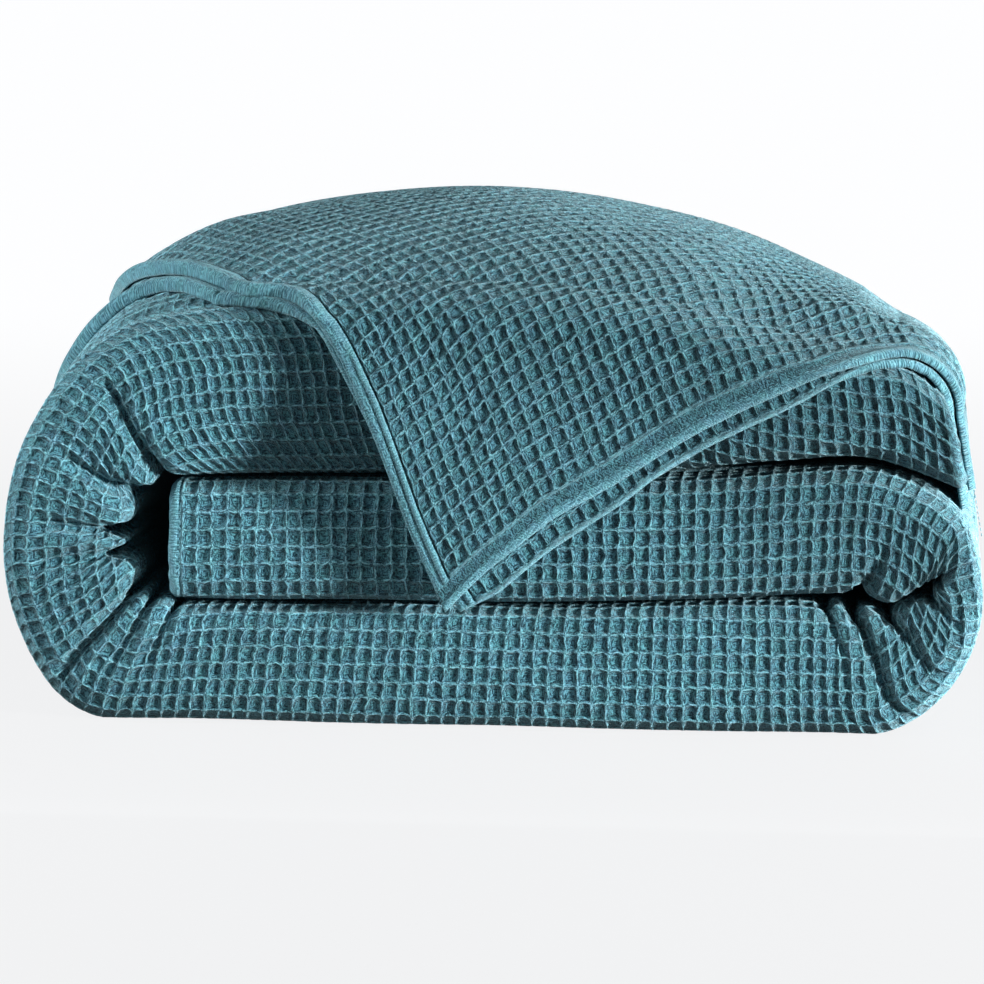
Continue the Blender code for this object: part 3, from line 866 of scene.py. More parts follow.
def makePly(name, hems, lift, leftHem, rightHem, leftStart, rightStart, tuckShare, tuckLength):
    # One ply of the flap: cells laid out from its corner, cut along the far edges, put in place
    fine = np.array(weave["flapSteps"])

    def places(hem, start, pitch, cells):
        inside = [start + (cell + fine) * pitch for cell in range(cells)]
        return np.concatenate([hem[:, 0]] + inside)

    columns = places(leftHem, leftStart, weave["flapColumn"], flap["cells"][0])
    rows = places(rightHem, rightStart, weave["flapRow"], flap["cells"][1])
    columnPlace = (columns - leftStart) / weave["flapColumn"]
    rowPlace = (rows - rightStart) / weave["flapRow"]
    columnGrid, rowGrid = np.meshgrid(columnPlace, rowPlace)
    across, away = np.meshgrid(columns, rows)
    inWeave = (columnGrid > -0.01) & (rowGrid > -0.01)
    strength = inWeave.astype(float)
    shifts = [shiftAt(part, rowGrid + 3.3 + lift, columnGrid + 50.7) for part in (0, 1)]
    sideways = weave["nodeJitter"] * shifts[0] - weave["bow"] * np.sin(np.pi * rowGrid) ** 2
    upward = weave["nodeJitter"] * shifts[1] + weave["bow"] * np.sin(np.pi * columnGrid) ** 2
    across = across + sideways * strength
    away = away + upward * strength
    along, over = laidOut(plyCurves(hems, lift), across, away, lift)

    # which hem a point belongs to, its height and lightness
    leftTable = np.append(leftHem, [(leftStart, 0, 0)], axis=0)
    rightTable = np.append(rightHem, [(rightStart, 0, 0)], axis=0)
    leftHeight, leftTone = [np.interp(across, leftTable[:, 0], leftTable[:, k]) for k in (1, 2)]
    rightHeight, rightTone = [np.interp(away, rightTable[:, 0], rightTable[:, k]) for k in (1, 2)]
    fromMiddle = (across - flap["rollWidth"] / 2) / (flap["rollWidth"] / 2)
    roll = np.sqrt(np.clip(1 - fromMiddle ** 2, 0, 1)) * flap["rollHeight"]
    roll = roll * smoothStep(away, flap["rollStart"], flap["rollStart"] + flap["rollRun"])
    leftHeight = np.maximum(leftHeight, np.minimum(leftHeight, 0) + roll)
    leftShare = 1 - smoothStep(across, leftStart - flap["hemBlend"], leftStart)
    rightShare = 1 - smoothStep(away, rightStart - flap["hemBlend"], rightStart)
    edge = np.interp(np.minimum(across, away), *flap["rim"])
    hemHeight = np.where(rightShare > 0.5, rightHeight, leftHeight)
    hemTone = np.where(rightShare > 0.5, rightTone, leftTone)
    hemHeight = np.minimum(hemHeight, edge)
    plain = (leftShare < 0.01) & (rightShare < 0.01)
    hemHeight = np.where(plain, 0, hemHeight)
    hemTone = np.where(plain, 0, hemTone)
    lengthwise = np.where(rightShare > 0.5, across + 0.8 * away, away + 0.5 * across)

    bm = bmesh.new()
    place = bm.verts.layers.float_vector.new("weavePlace")
    hem = bm.verts.layers.float_vector.new("hemPlace")
    more = bm.verts.layers.float_vector.new("more")
    riseLayer = bm.verts.layers.float_vector.new("rise")
    keep = (along < flap["reach"][0]) & (over < flap["reach"][1])
    number = np.full(keep.shape, -1, dtype=int)
    number[keep] = np.arange(keep.sum())
    layers = np.stack((along, over, columnGrid, rowGrid, strength, lengthwise, hemTone,
                       hemHeight, across, away), axis=-1)
    verts = []
    for values in layers[keep].tolist():
        vert = bm.verts.new((*values[:2], 0))
        vert[place] = values[2:5]
        vert[hem] = (*values[5:7], 0)
        vert[more] = values[7:]
        verts.append(vert)
    quads = np.stack((number[:-1, :-1], number[:-1, 1:], number[1:, 1:], number[1:, :-1]), axis=-1)
    for corners in quads.reshape(-1, 4).tolist():
        if min(corners) >= 0:
            bm.faces.new([verts[i] for i in corners])

    def past(x, y):
        return [f for f in bm.faces
                if f.calc_center_median().x > x and f.calc_center_median().y > y]

    def cut(point, normal, faces=None):
        chosen = list(bm.faces) if faces is None else faces
        parts = dict.fromkeys(part for face in chosen for part in (*face.verts, *face.edges))
        bmesh.ops.bisect_plane(bm, geom=[*parts, *chosen], plane_co=point, plane_no=normal,
                               dist=0.02, clear_outer=faces is None)

    backOver = flap["backEdge"] - flap["backBend"] - strip["yFront"]
    backOver += flap["frontBend"] * (math.pi / 4 - 1)
    cut((0, backOver + tuckLength, 0), (0, 1, 0))
    for first, second in zip(hems[2], hems[2][1:]):
        run = (second[1] - first[1], second[0] - first[0])
        cut((first[1], first[0], 0), (run[1], -run[0], 0))
    freeX, freeY = flap["freeFrom"], flap["freeEdge"]
    cut((0, freeY, 0), (0, 1, 0), past(freeX - 12, freeY - 12))
    cut((freeX, 0, 0), (1, 0, 0), past(freeX - 12, freeY))
    bmesh.ops.delete(bm, geom=past(freeX, freeY), context="FACES")

    # into place, with the underside and the rim
    top = list(bm.verts)
    flat = np.array([v.co[:2] for v in top])
    extra = np.array([v[more] for v in top])
    points, rise = plySurface(flat[:, 0], flat[:, 1], lift, tuckShare)
    thick = flap["plyThick"]
    upper = points + rise * (extra[:, :1] + thick / 2 - weave["ridgeHeight"])
    under = points - rise * (thick / 2 + flap["hemSwell"] * (extra[:, :1] != 0))
    boundary = [e for e in bm.edges if e.is_boundary]
    faces = list(bm.faces)
    shift = Vector((placing["centreX"], placing["centreY"], 0))
    twins = {}
    for vert, low in zip(top, under):
        twin = bm.verts.new((Vector(low) + shift) * placing["scale"])
        twins[vert] = twin
    for vert, high, direction in zip(top, upper, rise):
        vert.co = (Vector(high) + shift) * placing["scale"]
        vert[riseLayer] = direction
        twin = twins[vert]
        twin[riseLayer] = -Vector(direction)
        twin[place] = (vert[place][0], vert[place][1], 0)
        twin[hem] = (vert[hem][0], vert[hem][1], 1)
        twin[more] = vert[more]
    for face in faces:
        bm.faces.new([twins[v] for v in reversed(face.verts)])
    for edge in boundary:
        a, b = edge.verts
        bm.faces.new((a, b, twins[b], twins[a]))
    bmesh.ops.recalc_face_normals(bm, faces=bm.faces)
    mesh = bpy.data.meshes.new(name)
    bm.to_mesh(mesh)
    bm.free()
    return mesh


def thinOut(piece, hidden, ratio):
    # Fewer faces where the points never show
    group = piece.vertex_groups.new(name="hidden")
    group.add(np.flatnonzero(hidden).tolist(), 1.0, "REPLACE")
    modifier = piece.modifiers.new("thin", "DECIMATE")
    modifier.ratio = ratio
    modifier.vertex_group = "hidden"
    plainMesh(piece)
    piece.vertex_groups.clear()


def vectorAttribute(mesh, name):
    values = np.zeros(len(mesh.vertices) * 3, dtype=np.float32)
    mesh.attributes[name].data.foreach_get("vector", values)
    return values.reshape(-1, 3)


def addPiece(name, mesh):
    piece = bpy.data.objects.new(name, mesh)
    bpy.context.scene.collection.objects.link(piece)
    mesh.shade_smooth()
    return piece


def treeSocket(tree, name, kind, default=None):
    socket = tree.interface.new_socket(name=name, in_out="INPUT", socket_type="NodeSocket" + kind)
    if default is not None:
        socket.default_value = default


def addNode(tree, kind, inputs=None, **settings):
    # A node with these settings, whose inputs are values or other nodes' outputs
    node = tree.nodes.new(kind)
    for name, value in settings.items():
        setattr(node, name, value)
    for slot, value in (inputs or {}).items():
        if isinstance(value, bpy.types.NodeSocket):
            tree.links.new(value, node.inputs[slot])
        else:
            node.inputs[slot].default_value = value
    return node


def mathNode(tree, operation, *values):
    node = addNode(tree, "ShaderNodeMath", dict(enumerate(values)), operation=operation)
    return node.outputs[0]


def mixColour(tree, share, first, second):
    node = addNode(tree, "ShaderNodeMix", {"A": first, "B": second, "Factor": share},
                   data_type="RGBA")
    return node.outputs["Result"]


def spread(tree, value, low, high, smooth=False):
    # 0 at low and 1 at high, where low may be the larger
    node = addNode(tree, "ShaderNodeMapRange",
                   {"From Min": low, "From Max": high, "Value": value},
                   interpolation_type="SMOOTHSTEP" if smooth else "LINEAR")
    return node.outputs[0]


def cloudNode(tree, vector, scale, detail, roughness=0.5):
    node = addNode(tree, "ShaderNodeTexNoise", {"Scale": scale, "Detail": detail,
                                                "Roughness": roughness, "Vector": vector})
    return node.outputs["Fac"]


def cellRing(tree, column, row):
    # Distance from a cell's middle in rounded squares, 1 on the ridges and more where they
    # cross, and the plain distances across and down
    calc = functools.partial(mathNode, tree)
    across, down = [calc("MULTIPLY_ADD", calc("PINGPONG", place, 0.5), -2.0, 1.0)
                    for place in (column, row)]
    power = weave["cellSquareness"]
    total = calc("ADD", calc("POWER", across, power), calc("POWER", down, power))
    return calc("POWER", total, 1 / power), across, down


def openTree(name, geometryIn, geometryOut, sockets):
    # A Geometry Nodes tree with named inputs
    tree = bpy.data.node_groups.new(name, "GeometryNodeTree")
    treeSocket(tree, geometryIn, "Geometry")
    for socket in sockets:
        treeSocket(tree, *socket)
    treeSocket(tree, "Material", "Material")
    tree.interface.new_socket(name=geometryOut, in_out="OUTPUT",
                              socket_type="NodeSocketGeometry")
    return tree, tree.nodes.new("NodeGroupInput").outputs


def closeTree(tree, geometry, material):
    real = addNode(tree, "GeometryNodeRealizeInstances", {0: geometry})
    paint = addNode(tree, "GeometryNodeSetMaterial",
                    {"Geometry": real.outputs[0], "Material": material})
    addNode(tree, "NodeGroupOutput", {0: paint.outputs[0]})
    return tree


def pointVector(tree, name):
    node = addNode(tree, "GeometryNodeInputNamedAttribute", {"Name": name},
                   data_type="FLOAT_VECTOR")
    return node.outputs["Attribute"]


def waffleTree():
    # Raises the ridges and sinks the cells of a sheet whose points know their place in the weave
    tree, entry = openTree("waffle relief", "Cloth", "Cloth", (
        ("Ridge height", "Float", 0.001), ("Cell depth", "Float", 0.001),
        ("Ridge width", "Float", 0.1), ("Unevenness", "Float", 0.4), ("Seed", "Float", 7.0)))
    calc = functools.partial(mathNode, tree)
    split = addNode(tree, "ShaderNodeSeparateXYZ", {0: pointVector(tree, "weavePlace")})
    column, row, strength = split.outputs
    ring = cellRing(tree, column, row)[0]
    middle = calc("SUBTRACT", 1.0, ring)
    share = calc("DIVIDE", middle, calc("MULTIPLY", entry["Ridge width"], 2.0))
    crest = calc("EXPONENT", calc("MULTIPLY", calc("MULTIPLY", share, share), -1.0))
    openPart = calc("MULTIPLY", calc("SUBTRACT", 1.0, crest), calc("LESS_THAN", ring, 1.0))
    bowl = calc("MULTIPLY", openPart, calc("MULTIPLY_ADD", middle, *weave["bowl"]))

    cell = addNode(tree, "ShaderNodeCombineXYZ",
                   {0: calc("FLOOR", column), 1: calc("FLOOR", row), 2: entry["Seed"]})
    chance = addNode(tree, "ShaderNodeTexWhiteNoise", {"Vector": cell.outputs[0]})
    place = addNode(tree, "ShaderNodeCombineXYZ", {0: column, 1: row, 2: entry["Seed"]})
    cloud = cloudNode(tree, place.outputs[0], 1.1, 1.0)

    def uneven(value):
        return calc("MULTIPLY_ADD", calc("SUBTRACT", value, 0.5), entry["Unevenness"], 1.0)

    up = calc("MULTIPLY", calc("MULTIPLY", crest, entry["Ridge height"]), uneven(cloud))
    sunk = calc("MULTIPLY", calc("MULTIPLY", bowl, entry["Cell depth"]),
                uneven(chance.outputs["Value"]))
    height = calc("MULTIPLY", calc("SUBTRACT", up, sunk), strength)
    offset = addNode(tree, "ShaderNodeVectorMath",
                     {0: pointVector(tree, "rise"), "Scale": height}, operation="SCALE")
    move = addNode(tree, "GeometryNodeSetPosition",
                   {"Geometry": entry["Cloth"], "Offset": offset.outputs[0]})
    return closeTree(tree, move.outputs[0], entry["Material"])


clothLook = {
    # deep and yarn are the dark and light ends of the yarn's speckle: partly the yarn's own uneven
    # tone, partly painted shade between the yarns
    "deep": (0.006, 0.036, 0.054, 1),
    "yarn": (0.118, 0.350, 0.430, 1),
    # ridge: the ridges are drawn lighter, partly for their fuzzier yarn and partly as painted light
    # on their open tops
    "ridge": (0.235, 0.515, 0.605, 1),
    "paintedCreaseShade": 0.35,  # painted shade: how much darker the foot of the ridges is drawn, in the crease where the cell floor meets them
    "sheen": 0.6,
    "sheenTint": (0.60, 0.88, 0.95, 1),
    "roughness": 0.92,
    "fibreDepth": 0.0012,
    "ribPitch": 1.5,  # of the ribs across the hems, in mm
    "ribWaver": 9.0,
    "ribStrength": 0.13,
    "floatPitch": (2.3, 8.5),  # floats to a cell, along and across their own way
    "fuzz": 11.0,
    "patch": 0.16,  # how much lighter the cloth gets in patches, and from cell to cell
    "darkest": 0.86,
    # painted light and shade: places drawn lighter where more light falls (the bottom band, the
    # folds, the top band's upper left) and darker where the top band lies in shade by the flap's
    # right hem; centre and reach in metres, and how much lighter it is there
    "paintedLightAndShade": ((-0.02, -0.17, 0.025, 0.24, 0.20), (-0.225, -0.15, 0.08, 0.14, 0.25),
               (-0.18, -0.13, 0.18, 0.10, 0.22), (0.19, -0.16, 0.15, 0.13, -0.25),
               (0.06, -0.16, 0.19, 0.17, -0.20), (0.235, -0.10, 0.07, 0.06, 0.15)),
}


def openMaterial(name, values):
    material = bpy.data.materials.new(name)
    material.use_nodes = True
    shader = material.node_tree.nodes["Principled BSDF"]
    for slot, value in values.items():
        shader.inputs[slot].default_value = value
    return material, material.node_tree, shader


def weaveMaterial():
    material, tree, shader = openMaterial("teal waffle cotton", {
        "Roughness": clothLook["roughness"], "Specular IOR Level": 0.12, "Sheen Weight": clothLook["sheen"],
        "Sheen Roughness": 0.42, "Sheen Tint": clothLook["sheenTint"]})
    calc = functools.partial(mathNode, tree)

    def split(name):
        vector = addNode(tree, "ShaderNodeAttribute", attribute_name=name).outputs["Vector"]
        return vector, addNode(tree, "ShaderNodeSeparateXYZ", {0: vector}).outputs

    vector, (column, row, strength) = split("weavePlace")
    hemAlong, hemTone = split("hemPlace")[1][:2]

    def stretched(across, down):
        scaled = addNode(tree, "ShaderNodeVectorMath", {0: vector, 1: (across, down, 0.0)},
                         operation="MULTIPLY")
        return cloudNode(tree, scaled.outputs[0], 1.0, 1.0, 0.7)

    ring, across, down = cellRing(tree, column, row)
    wander = cloudNode(tree, vector, 3.1, 2.0)
    gap = calc("MULTIPLY_ADD", calc("SUBTRACT", wander, 0.5), 0.20, calc("SUBTRACT", 1.0, ring))
    away = calc("MAXIMUM", gap, calc("MULTIPLY", gap, -1.5))
    ridgeShare = calc("MULTIPLY", spread(tree, away, 0.13, 0.02, True), strength)
    # painted shade at the foot of the ridges, inside the cells
    paintedFootShade = calc("MULTIPLY", spread(tree, gap, 0.10, 0.26, True),
                spread(tree, gap, 0.62, 0.26, True))
    paintedFootShadeShare = calc("MULTIPLY", paintedFootShade, strength)
    # the floats run along the nearest ridge
    side = spread(tree, calc("SUBTRACT", across, down), -0.2, 0.2, True)
    few, many = clothLook["floatPitch"]
    floats = addNode(tree, "ShaderNodeMix", {"Factor": side, "A": stretched(few, many),
                                             "B": stretched(many, few)}).outputs["Result"]
    fibre = calc("MULTIPLY_ADD", calc("SUBTRACT", floats, 0.5), 1.1,
                 cloudNode(tree, vector, clothLook["fuzz"], 2.0, 0.8))
    # uneven ribs run across the hems
    wobble = calc("MULTIPLY", cloudNode(tree, vector, 2.4, 1.0), clothLook["ribWaver"])
    ribs = calc("SINE", calc("MULTIPLY_ADD", hemAlong, 2 * math.pi / clothLook["ribPitch"], wobble))
    ribs = calc("MULTIPLY", ribs, spread(tree, cloudNode(tree, vector, 1.7, 1.0), 0.3, 0.6))
    hemShare = calc("MINIMUM", calc("MULTIPLY", calc("ABSOLUTE", hemTone), 3.0), 1.0)
    fibre = calc("MULTIPLY_ADD", calc("MULTIPLY", ribs, hemShare), clothLook["ribStrength"], fibre)
    speckle = spread(tree, fibre, 0.38, 0.66)
    # speckle from deep to yarn: partly the yarn's own tone, partly painted shade between the yarns
    ground = mixColour(tree, speckle, clothLook["deep"], clothLook["yarn"])
    hemCloth = mixColour(tree, speckle, clothLook["yarn"], clothLook["ridge"])
    ground = mixColour(tree, calc("MINIMUM", calc("MAXIMUM", hemTone, 0.0), 0.6),
                       ground, hemCloth)
    # ridges drawn lighter: partly their fuzzier yarn, partly painted light on their open tops
    crest = calc("MULTIPLY", ridgeShare, calc("MULTIPLY_ADD", speckle, 0.75, 0.12))
    colour = mixColour(tree, crest, ground, clothLook["ridge"])
    # patches and cells differ in lightness; painted shade darkens the feet of the ridges, the
    # sunken hem lines are drawn darker, and painted light and shade lightens or darkens whole
    # places
    patches = spread(tree, cloudNode(tree, vector, 0.35, 2.0), 0.3, 0.7)
    cell = addNode(tree, "ShaderNodeVectorMath", {0: vector}, operation="FLOOR")
    chance = addNode(tree, "ShaderNodeTexWhiteNoise", {"Vector": cell.outputs[0]})
    lightness = calc("MULTIPLY_ADD", patches, clothLook["patch"], clothLook["darkest"])
    lightness = calc("MULTIPLY_ADD", chance.outputs["Value"], clothLook["patch"], lightness)
    factors = [calc("MULTIPLY_ADD", paintedFootShadeShare, -clothLook["paintedCreaseShade"], 1.0),
               calc("ADD", calc("MINIMUM", hemTone, 0.0), 1.0)]
    here = addNode(tree, "ShaderNodeTexCoord").outputs["Object"]
    # painted light and shade, place by place
    for x, y, z, reach, amount in clothLook["paintedLightAndShade"]:
        away = addNode(tree, "ShaderNodeVectorMath", {0: here, 1: (x, y, z)},
                       operation="DISTANCE")
        near = spread(tree, away.outputs["Value"], reach, reach * 0.3, True)
        factors.append(calc("MULTIPLY_ADD", near, amount, 1.0))
    for factor in factors:
        lightness = calc("MULTIPLY", lightness, factor)
    hue = calc("MULTIPLY_ADD", cloudNode(tree, vector, 1.3, 1.0), 0.05, 0.475)
    shade = addNode(tree, "ShaderNodeHueSaturation",
                    {"Color": colour, "Value": lightness, "Hue": hue})
    bump = addNode(tree, "ShaderNodeBump",
                   {"Strength": 1.0, "Distance": clothLook["fibreDepth"], "Height": fibre})
    tree.links.new(shade.outputs[0], shader.inputs["Base Color"])
    tree.links.new(bump.outputs[0], shader.inputs["Normal"])
    return material


waffle = waffleTree()
cloth = weaveMaterial()


stitches = {
    "pitch": 3.2,
    "length": 2.3,
    "width": 0.55,
    "height": 0.5,
    "tilt": 0.22,  # up to this many radians either way
    "seed": 11,
    # distance from the hem's edge, first and last place along it, and how high the thread lies
    "leftHem": (8.1, 15.0, 296.0, -0.9),
    "rightHem": (5.3, 12.0, 392.0, -0.5),
    "end": (7.0, 5.0, 58.0, 0.9),
    "thread": (0.180, 0.440, 0.520, 1),
    "threadShade": (0.050, 0.170, 0.215, 1),
}


def stitchTree():
    # Short stitches along lines whose points know the way up
    tree, entry = openTree("hem stitches", "Lines", "Stitches", (
        ("Pitch", "Float", 0.002), ("Length", "Float", 0.002), ("Width", "Float", 0.002),
        ("Height", "Float", 0.002), ("Tilt", "Float", 0.2), ("Seed", "Int", 1)))
    curve = addNode(tree, "GeometryNodeMeshToCurve", {"Mesh": entry["Lines"]})
    even = addNode(tree, "GeometryNodeResampleCurve",
                   {"Curve": curve.outputs[0], "Length": entry["Pitch"]}, mode="LENGTH")
    ball = addNode(tree, "GeometryNodeMeshUVSphere", {"Segments": 6, "Rings": 4, "Radius": 0.5})
    size = addNode(tree, "ShaderNodeCombineXYZ",
                   {0: entry["Length"], 1: entry["Width"], 2: entry["Height"]})
    shape = addNode(tree, "GeometryNodeTransform",
                    {"Geometry": ball.outputs["Mesh"], "Scale": size.outputs[0]})
    way = addNode(tree, "GeometryNodeInputTangent")
    turn = addNode(tree, "FunctionNodeAxesToRotation",
                   {"Primary Axis": way.outputs[0], "Secondary Axis": pointVector(tree, "rise")},
                   primary_axis="X", secondary_axis="Z")
    chance = addNode(tree, "FunctionNodeRandomValue",
                     {2: mathNode(tree, "MULTIPLY", entry["Tilt"], -1.0), 3: entry["Tilt"],
                      "Seed": entry["Seed"]}, data_type="FLOAT")
    skew = addNode(tree, "ShaderNodeCombineXYZ", {2: chance.outputs[1]})
    angle = addNode(tree, "FunctionNodeEulerToRotation", {0: skew.outputs[0]})
    bend = addNode(tree, "FunctionNodeRotateRotation",
                   {"Rotation": turn.outputs[0], "Rotate By": angle.outputs[0]},
                   rotation_space="LOCAL")
    spot = addNode(tree, "GeometryNodeInstanceOnPoints",
                   {"Points": even.outputs[0], "Instance": shape.outputs[0],
                    "Rotation": bend.outputs[0]})
    return closeTree(tree, spot.outputs[0], entry["Material"])


def threadMaterial():
    material, tree, shader = openMaterial(
        "teal thread", {"Roughness": 0.85, "Specular IOR Level": 0.15, "Sheen Weight": 0.4})
    where = addNode(tree, "ShaderNodeTexCoord").outputs["Object"]
    twist = cloudNode(tree, where, 2600.0, 2.0)
    colour = mixColour(tree, spread(tree, twist, 0.35, 0.65), stitches["threadShade"],
                       stitches["thread"])
    bump = addNode(tree, "ShaderNodeBump", {"Distance": 0.0003, "Height": twist})
    tree.links.new(colour, shader.inputs["Base Color"])
    tree.links.new(bump.outputs[0], shader.inputs["Normal"])
    return material


sewing = stitchTree()
thread = threadMaterial()


def plainMesh(piece):
    # The piece as its modifiers make it, with none left
    bpy.context.view_layer.update()
    graph = bpy.context.evaluated_depsgraph_get()
    made = bpy.data.meshes.new_from_object(piece.evaluated_get(graph))
    piece.modifiers.clear()
    piece.data = made
    made.shade_smooth()


def withTree(piece, tree, values):
    modifier = piece.modifiers.new("tree", "NODES")
    modifier.node_group = tree
    for item in tree.interface.items_tree:
        if item.item_type == "SOCKET" and item.in_out == "INPUT" and item.name in values:
            modifier[item.identifier] = values[item.name]
    plainMesh(piece)


def weaveRelief(piece):
    scale = placing["scale"]
    withTree(piece, waffle, {"Ridge height": weave["ridgeHeight"] * scale,
                             "Cell depth": weave["cellDepth"] * scale,
                             "Ridge width": weave["ridgeWidth"],
                             "Unevenness": weave["unevenness"],
                             "Seed": float(weave["seed"]), "Material": cloth})


def onBlanket(piece):
    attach(piece, "root")
    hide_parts("blanket")
    print(piece.name, sum(len(p.vertices) - 2 for p in piece.data.polygons), "triangles")


def sewnPiece(name, lines):
    # Stitches along lines of points in millimetres with the way up at each
    mesh = bpy.data.meshes.new(name)
    points = np.concatenate([line[0] for line in lines])
    points = (points + (placing["centreX"], placing["centreY"], 0)) * placing["scale"]
    edges, start = [], 0
    for line in lines:
        edges += [(start + i, start + i + 1) for i in range(len(line[0]) - 1)]
        start += len(line[0])
    mesh.from_pydata(points.tolist(), edges, [])
    mesh.attributes.new("rise", "FLOAT_VECTOR", "POINT")
    rises = np.concatenate([line[1] for line in lines])
    mesh.attributes["rise"].data.foreach_set("vector", rises.reshape(-1))
    piece = addPiece(name, mesh)
    values = {key.capitalize(): stitches[key] * placing["scale"]
              for key in ("pitch", "length", "width", "height")}
    withTree(piece, sewing, {**values, "Tilt": stitches["tilt"], "Seed": stitches["seed"],
                             "Material": thread})
    onBlanket(piece)
    return piece


def hemLine(hems, lift, across, away, tuckShare, raised):
    along, over = laidOut(plyCurves(hems, lift), across, away, lift)
    points, rise = plySurface(along, over, lift, tuckShare)
    return points + rise * (flap["plyThick"] / 2 - weave["ridgeHeight"] + raised), rise


def stageObject(name, mesh):
    obj = bpy.data.objects.new(name, mesh)
    bpy.context.scene.collection.objects.link(obj)
    return obj


fromEnd, firstFront, lastFront, raised = stitches["end"]
frontPlaces = np.arange(firstFront, lastFront, 1.0)
endGrid, endRise = layGrid([("front", value, 0) for value in frontPlaces], np.array([1.0]))
endLine = endGrid[:, 0] + endRise[:, 0] * raised - (weave["column"] - fromEnd, 0, 0)
endStitches = sewnPiece("endStitches", [(endLine, endRise[:, 0])])
# name, first and last column of cells, whether the outer side is finely meshed, whether the
# strip starts and ends there; flat size of the cloth in metres, what it lies on and what is
# sewn on it
spans = (("middleBand", 1, 47, False, True, False, (0.93, 0.36), ("bottomBand",),
          (endStitches,)),
         ("rightFold", 47, 72, True, False, False, (0.93, 0.19), ("bottomBand",), ()),
         ("bottomBand", 72, 117, False, False, False, (0.93, 0.34), ("floor",), ()),
         ("leftFold", 117, 168, True, False, False, (0.93, 0.39), ("floor",), ()),
         ("topBand", 168, columnCount, False, False, True, (0.93, 0.32), ("middleBand",), ()))
for name, first, last, fineOuter, firstEnd, lastEnd, flat, under, sewn in spans:
    piece = addPiece(name, stripPiece(name, first, last, fineOuter, firstEnd, lastEnd))
    weaveRelief(piece)
    onBlanket(piece)

lowerLift = flap["layerGap"] + flap["plyThick"] / 2
upperLift = lowerLift + flap["plyThick"] + flap["layerGap"]
upperHems = (upperLeft, upperRight, upperBottom)
upperTuck = 0.50
hemLines = []
for side in ("leftHem", "rightHem"):
    fromHem, firstPlace, lastPlace, raised = stitches[side]
    places = np.arange(firstPlace, lastPlace, 1.0)
    across, away = np.full(len(places), fromHem), places
    if side == "rightHem":
        across, away = away, across
    hemLines.append(hemLine(upperHems, upperLift, across, away, upperTuck, raised))
flapStitches = sewnPiece("flapStitches", hemLines)

# name, hems, lift, hem sections, where the cells start, where the far edge is tucked in and how
# deep; flat size and area of the cloth, in metres, what it lies on and what is sewn on it
plies = ((("lowerPly", (lowerLeft, lowerRight, lowerBottom), lowerLift, plainHem, selvage,
           11.2, 2.5, 0.17, 42.0), (0.47, 0.55), 0.22, ("topBand", "leftFold"), ()),
         (("upperPly", upperHems, upperLift, plainHem, turnedHem, 11.2, 11.9, upperTuck, 74.0),
          (0.47, 0.56), 0.23, ("lowerPly",), (flapStitches,)))
for values, flat, flatArea, under, sewn in plies:
    piece = addPiece(values[0], makePly(*values))
    weaveRelief(piece)
    hidden = vectorAttribute(piece.data, "hemPlace")[:, 2] > 0.5
    extra = vectorAttribute(piece.data, "more")
    if values[0] == "lowerPly":
        hidden |= (extra[:, 1] > flap["hiddenFrom"][0]) & (extra[:, 2] > flap["hiddenFrom"][1])
    thinOut(piece, hidden, 1 - flap["thinning"] * hidden.mean())
    onBlanket(piece)

ground = {
    "corners": ((-30, -30, 0), (30, -30, 0), (30, 60, 0), (-30, 60, 0)),
    "paper": (0.025, 0.0255, 0.026, 1),
    "glow": (0.985, 0.99, 1.0, 1),
    "near": 0.85,  # brightness under the blanket, and how much it gains by the distance
    "gain": 0.14,
    "distance": 1.8,
}
floor = bpy.data.meshes.new("floor")
floor.from_pydata(ground["corners"], [], [(0, 1, 2, 3)])
floorObject = stageObject("floor", floor)
floorObject.visible_diffuse = False
paint, tree, shader = openMaterial("pale floor", {
    "Base Color": ground["paper"], "Roughness": 0.7, "Specular IOR Level": 0.2,
    "Emission Color": ground["glow"]})
where = addNode(tree, "ShaderNodeTexCoord").outputs["Object"]
depth = addNode(tree, "ShaderNodeSeparateXYZ", {0: where}).outputs[1]
glow = mathNode(tree, "MULTIPLY_ADD", spread(tree, depth, 0.0, ground["distance"], True),
                ground["gain"], ground["near"])
tree.links.new(glow, shader.inputs["Emission Strength"])
floor.materials.append(paint)

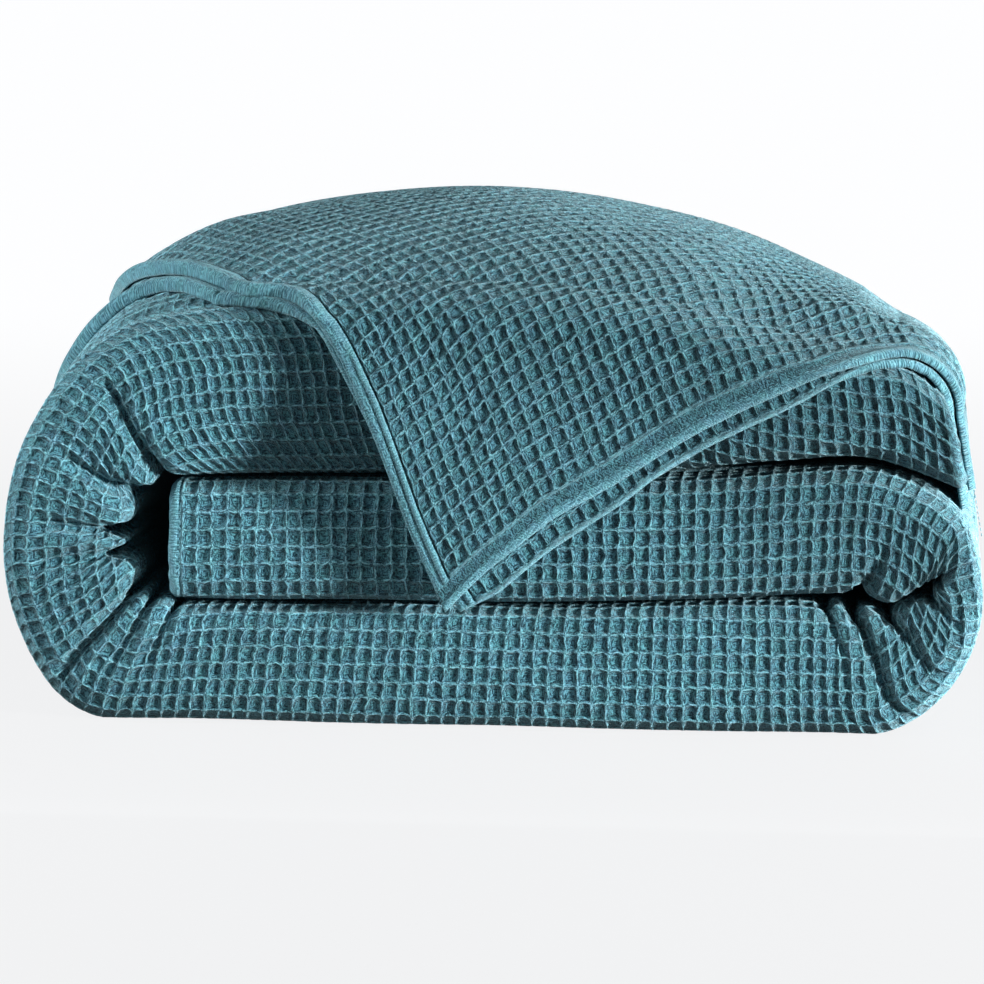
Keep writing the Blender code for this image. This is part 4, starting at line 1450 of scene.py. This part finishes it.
shot = {
    "target": (0.0037, -0.156, 0.1215),
    "azimuth": 6,
    "elevation": 9,
    "distance": 2.0,
    "sensor": 36,
    "width": 0.492,  # metres across the picture at the target
}
camera = bpy.data.objects.new("camera", bpy.data.cameras.new("camera"))
bpy.context.scene.collection.objects.link(camera)
bpy.context.scene.camera = camera
azimuth, elevation = math.radians(shot["azimuth"]), math.radians(shot["elevation"])
target = Vector(shot["target"])
camera.location = target + shot["distance"] * Vector((math.sin(azimuth) * math.cos(elevation),
                                                      -math.cos(azimuth) * math.cos(elevation),
                                                      math.sin(elevation)))
camera.rotation_euler = (target - camera.location).to_track_quat("-Z", "Y").to_euler()
camera.data.sensor_width = shot["sensor"]
camera.data.lens = shot["sensor"] * shot["distance"] / shot["width"]

world = bpy.data.worlds.new("studio")
bpy.context.scene.world = world
world.use_nodes = True
tree = world.node_tree
backdrop = tree.nodes["Background"]
backdrop.inputs["Color"].default_value = (0.95, 0.98, 1.0, 1)
backdrop.inputs["Strength"].default_value = 0.10
seen = addNode(tree, "ShaderNodeBackground", {"Color": (1, 1, 1, 1), "Strength": 0.991})
rays = addNode(tree, "ShaderNodeLightPath")
choose = addNode(tree, "ShaderNodeMixShader", {0: rays.outputs["Is Camera Ray"],
                                               1: backdrop.outputs[0], 2: seen.outputs[0]})
tree.links.new(choose.outputs[0], tree.nodes["World Output"].inputs[0])

# name, place and aim in metres, width, height, power
lamps = (
    ("key right", (1.56, -0.82, 0.36), (0.0, -0.12, 0.11), 0.22, 0.22, 64),
    ("high right", (0.837, -0.823, 1.412), (0.0, -0.12, 0.11), 0.5, 0.5, 5),
    ("upper left", (-0.75, -0.30, 0.45), (-0.20, -0.12, 0.16), 0.3, 0.3, 5),
    ("left side", (-1.67, 0.03, 0.40), (0.0, -0.12, 0.11), 0.5, 0.5, 12),
    ("right side", (0.60, -0.12, 0.05), (0.24, -0.12, 0.06), 0.1, 0.1, 3),
    ("low front", (0.02, -0.36, 0.02), (0.02, -0.16, 0.03), 0.6, 0.03, 0.10),
)
for name, place, aim, width, height, power in lamps:
    lamp = bpy.data.lights.new(name, "AREA")
    lamp.shape = "RECTANGLE"
    lamp.size = width
    lamp.size_y = height
    lamp.energy = power
    obj = bpy.data.objects.new(name, lamp)
    bpy.context.scene.collection.objects.link(obj)
    obj.location = place
    obj.rotation_euler = (Vector(aim) - Vector(place)).to_track_quat("-Z", "Y").to_euler()
    obj.visible_camera = False
bpy.context.scene.view_settings.view_transform = "Standard"
print("stage: floor, camera,", len(lamps), "lights")
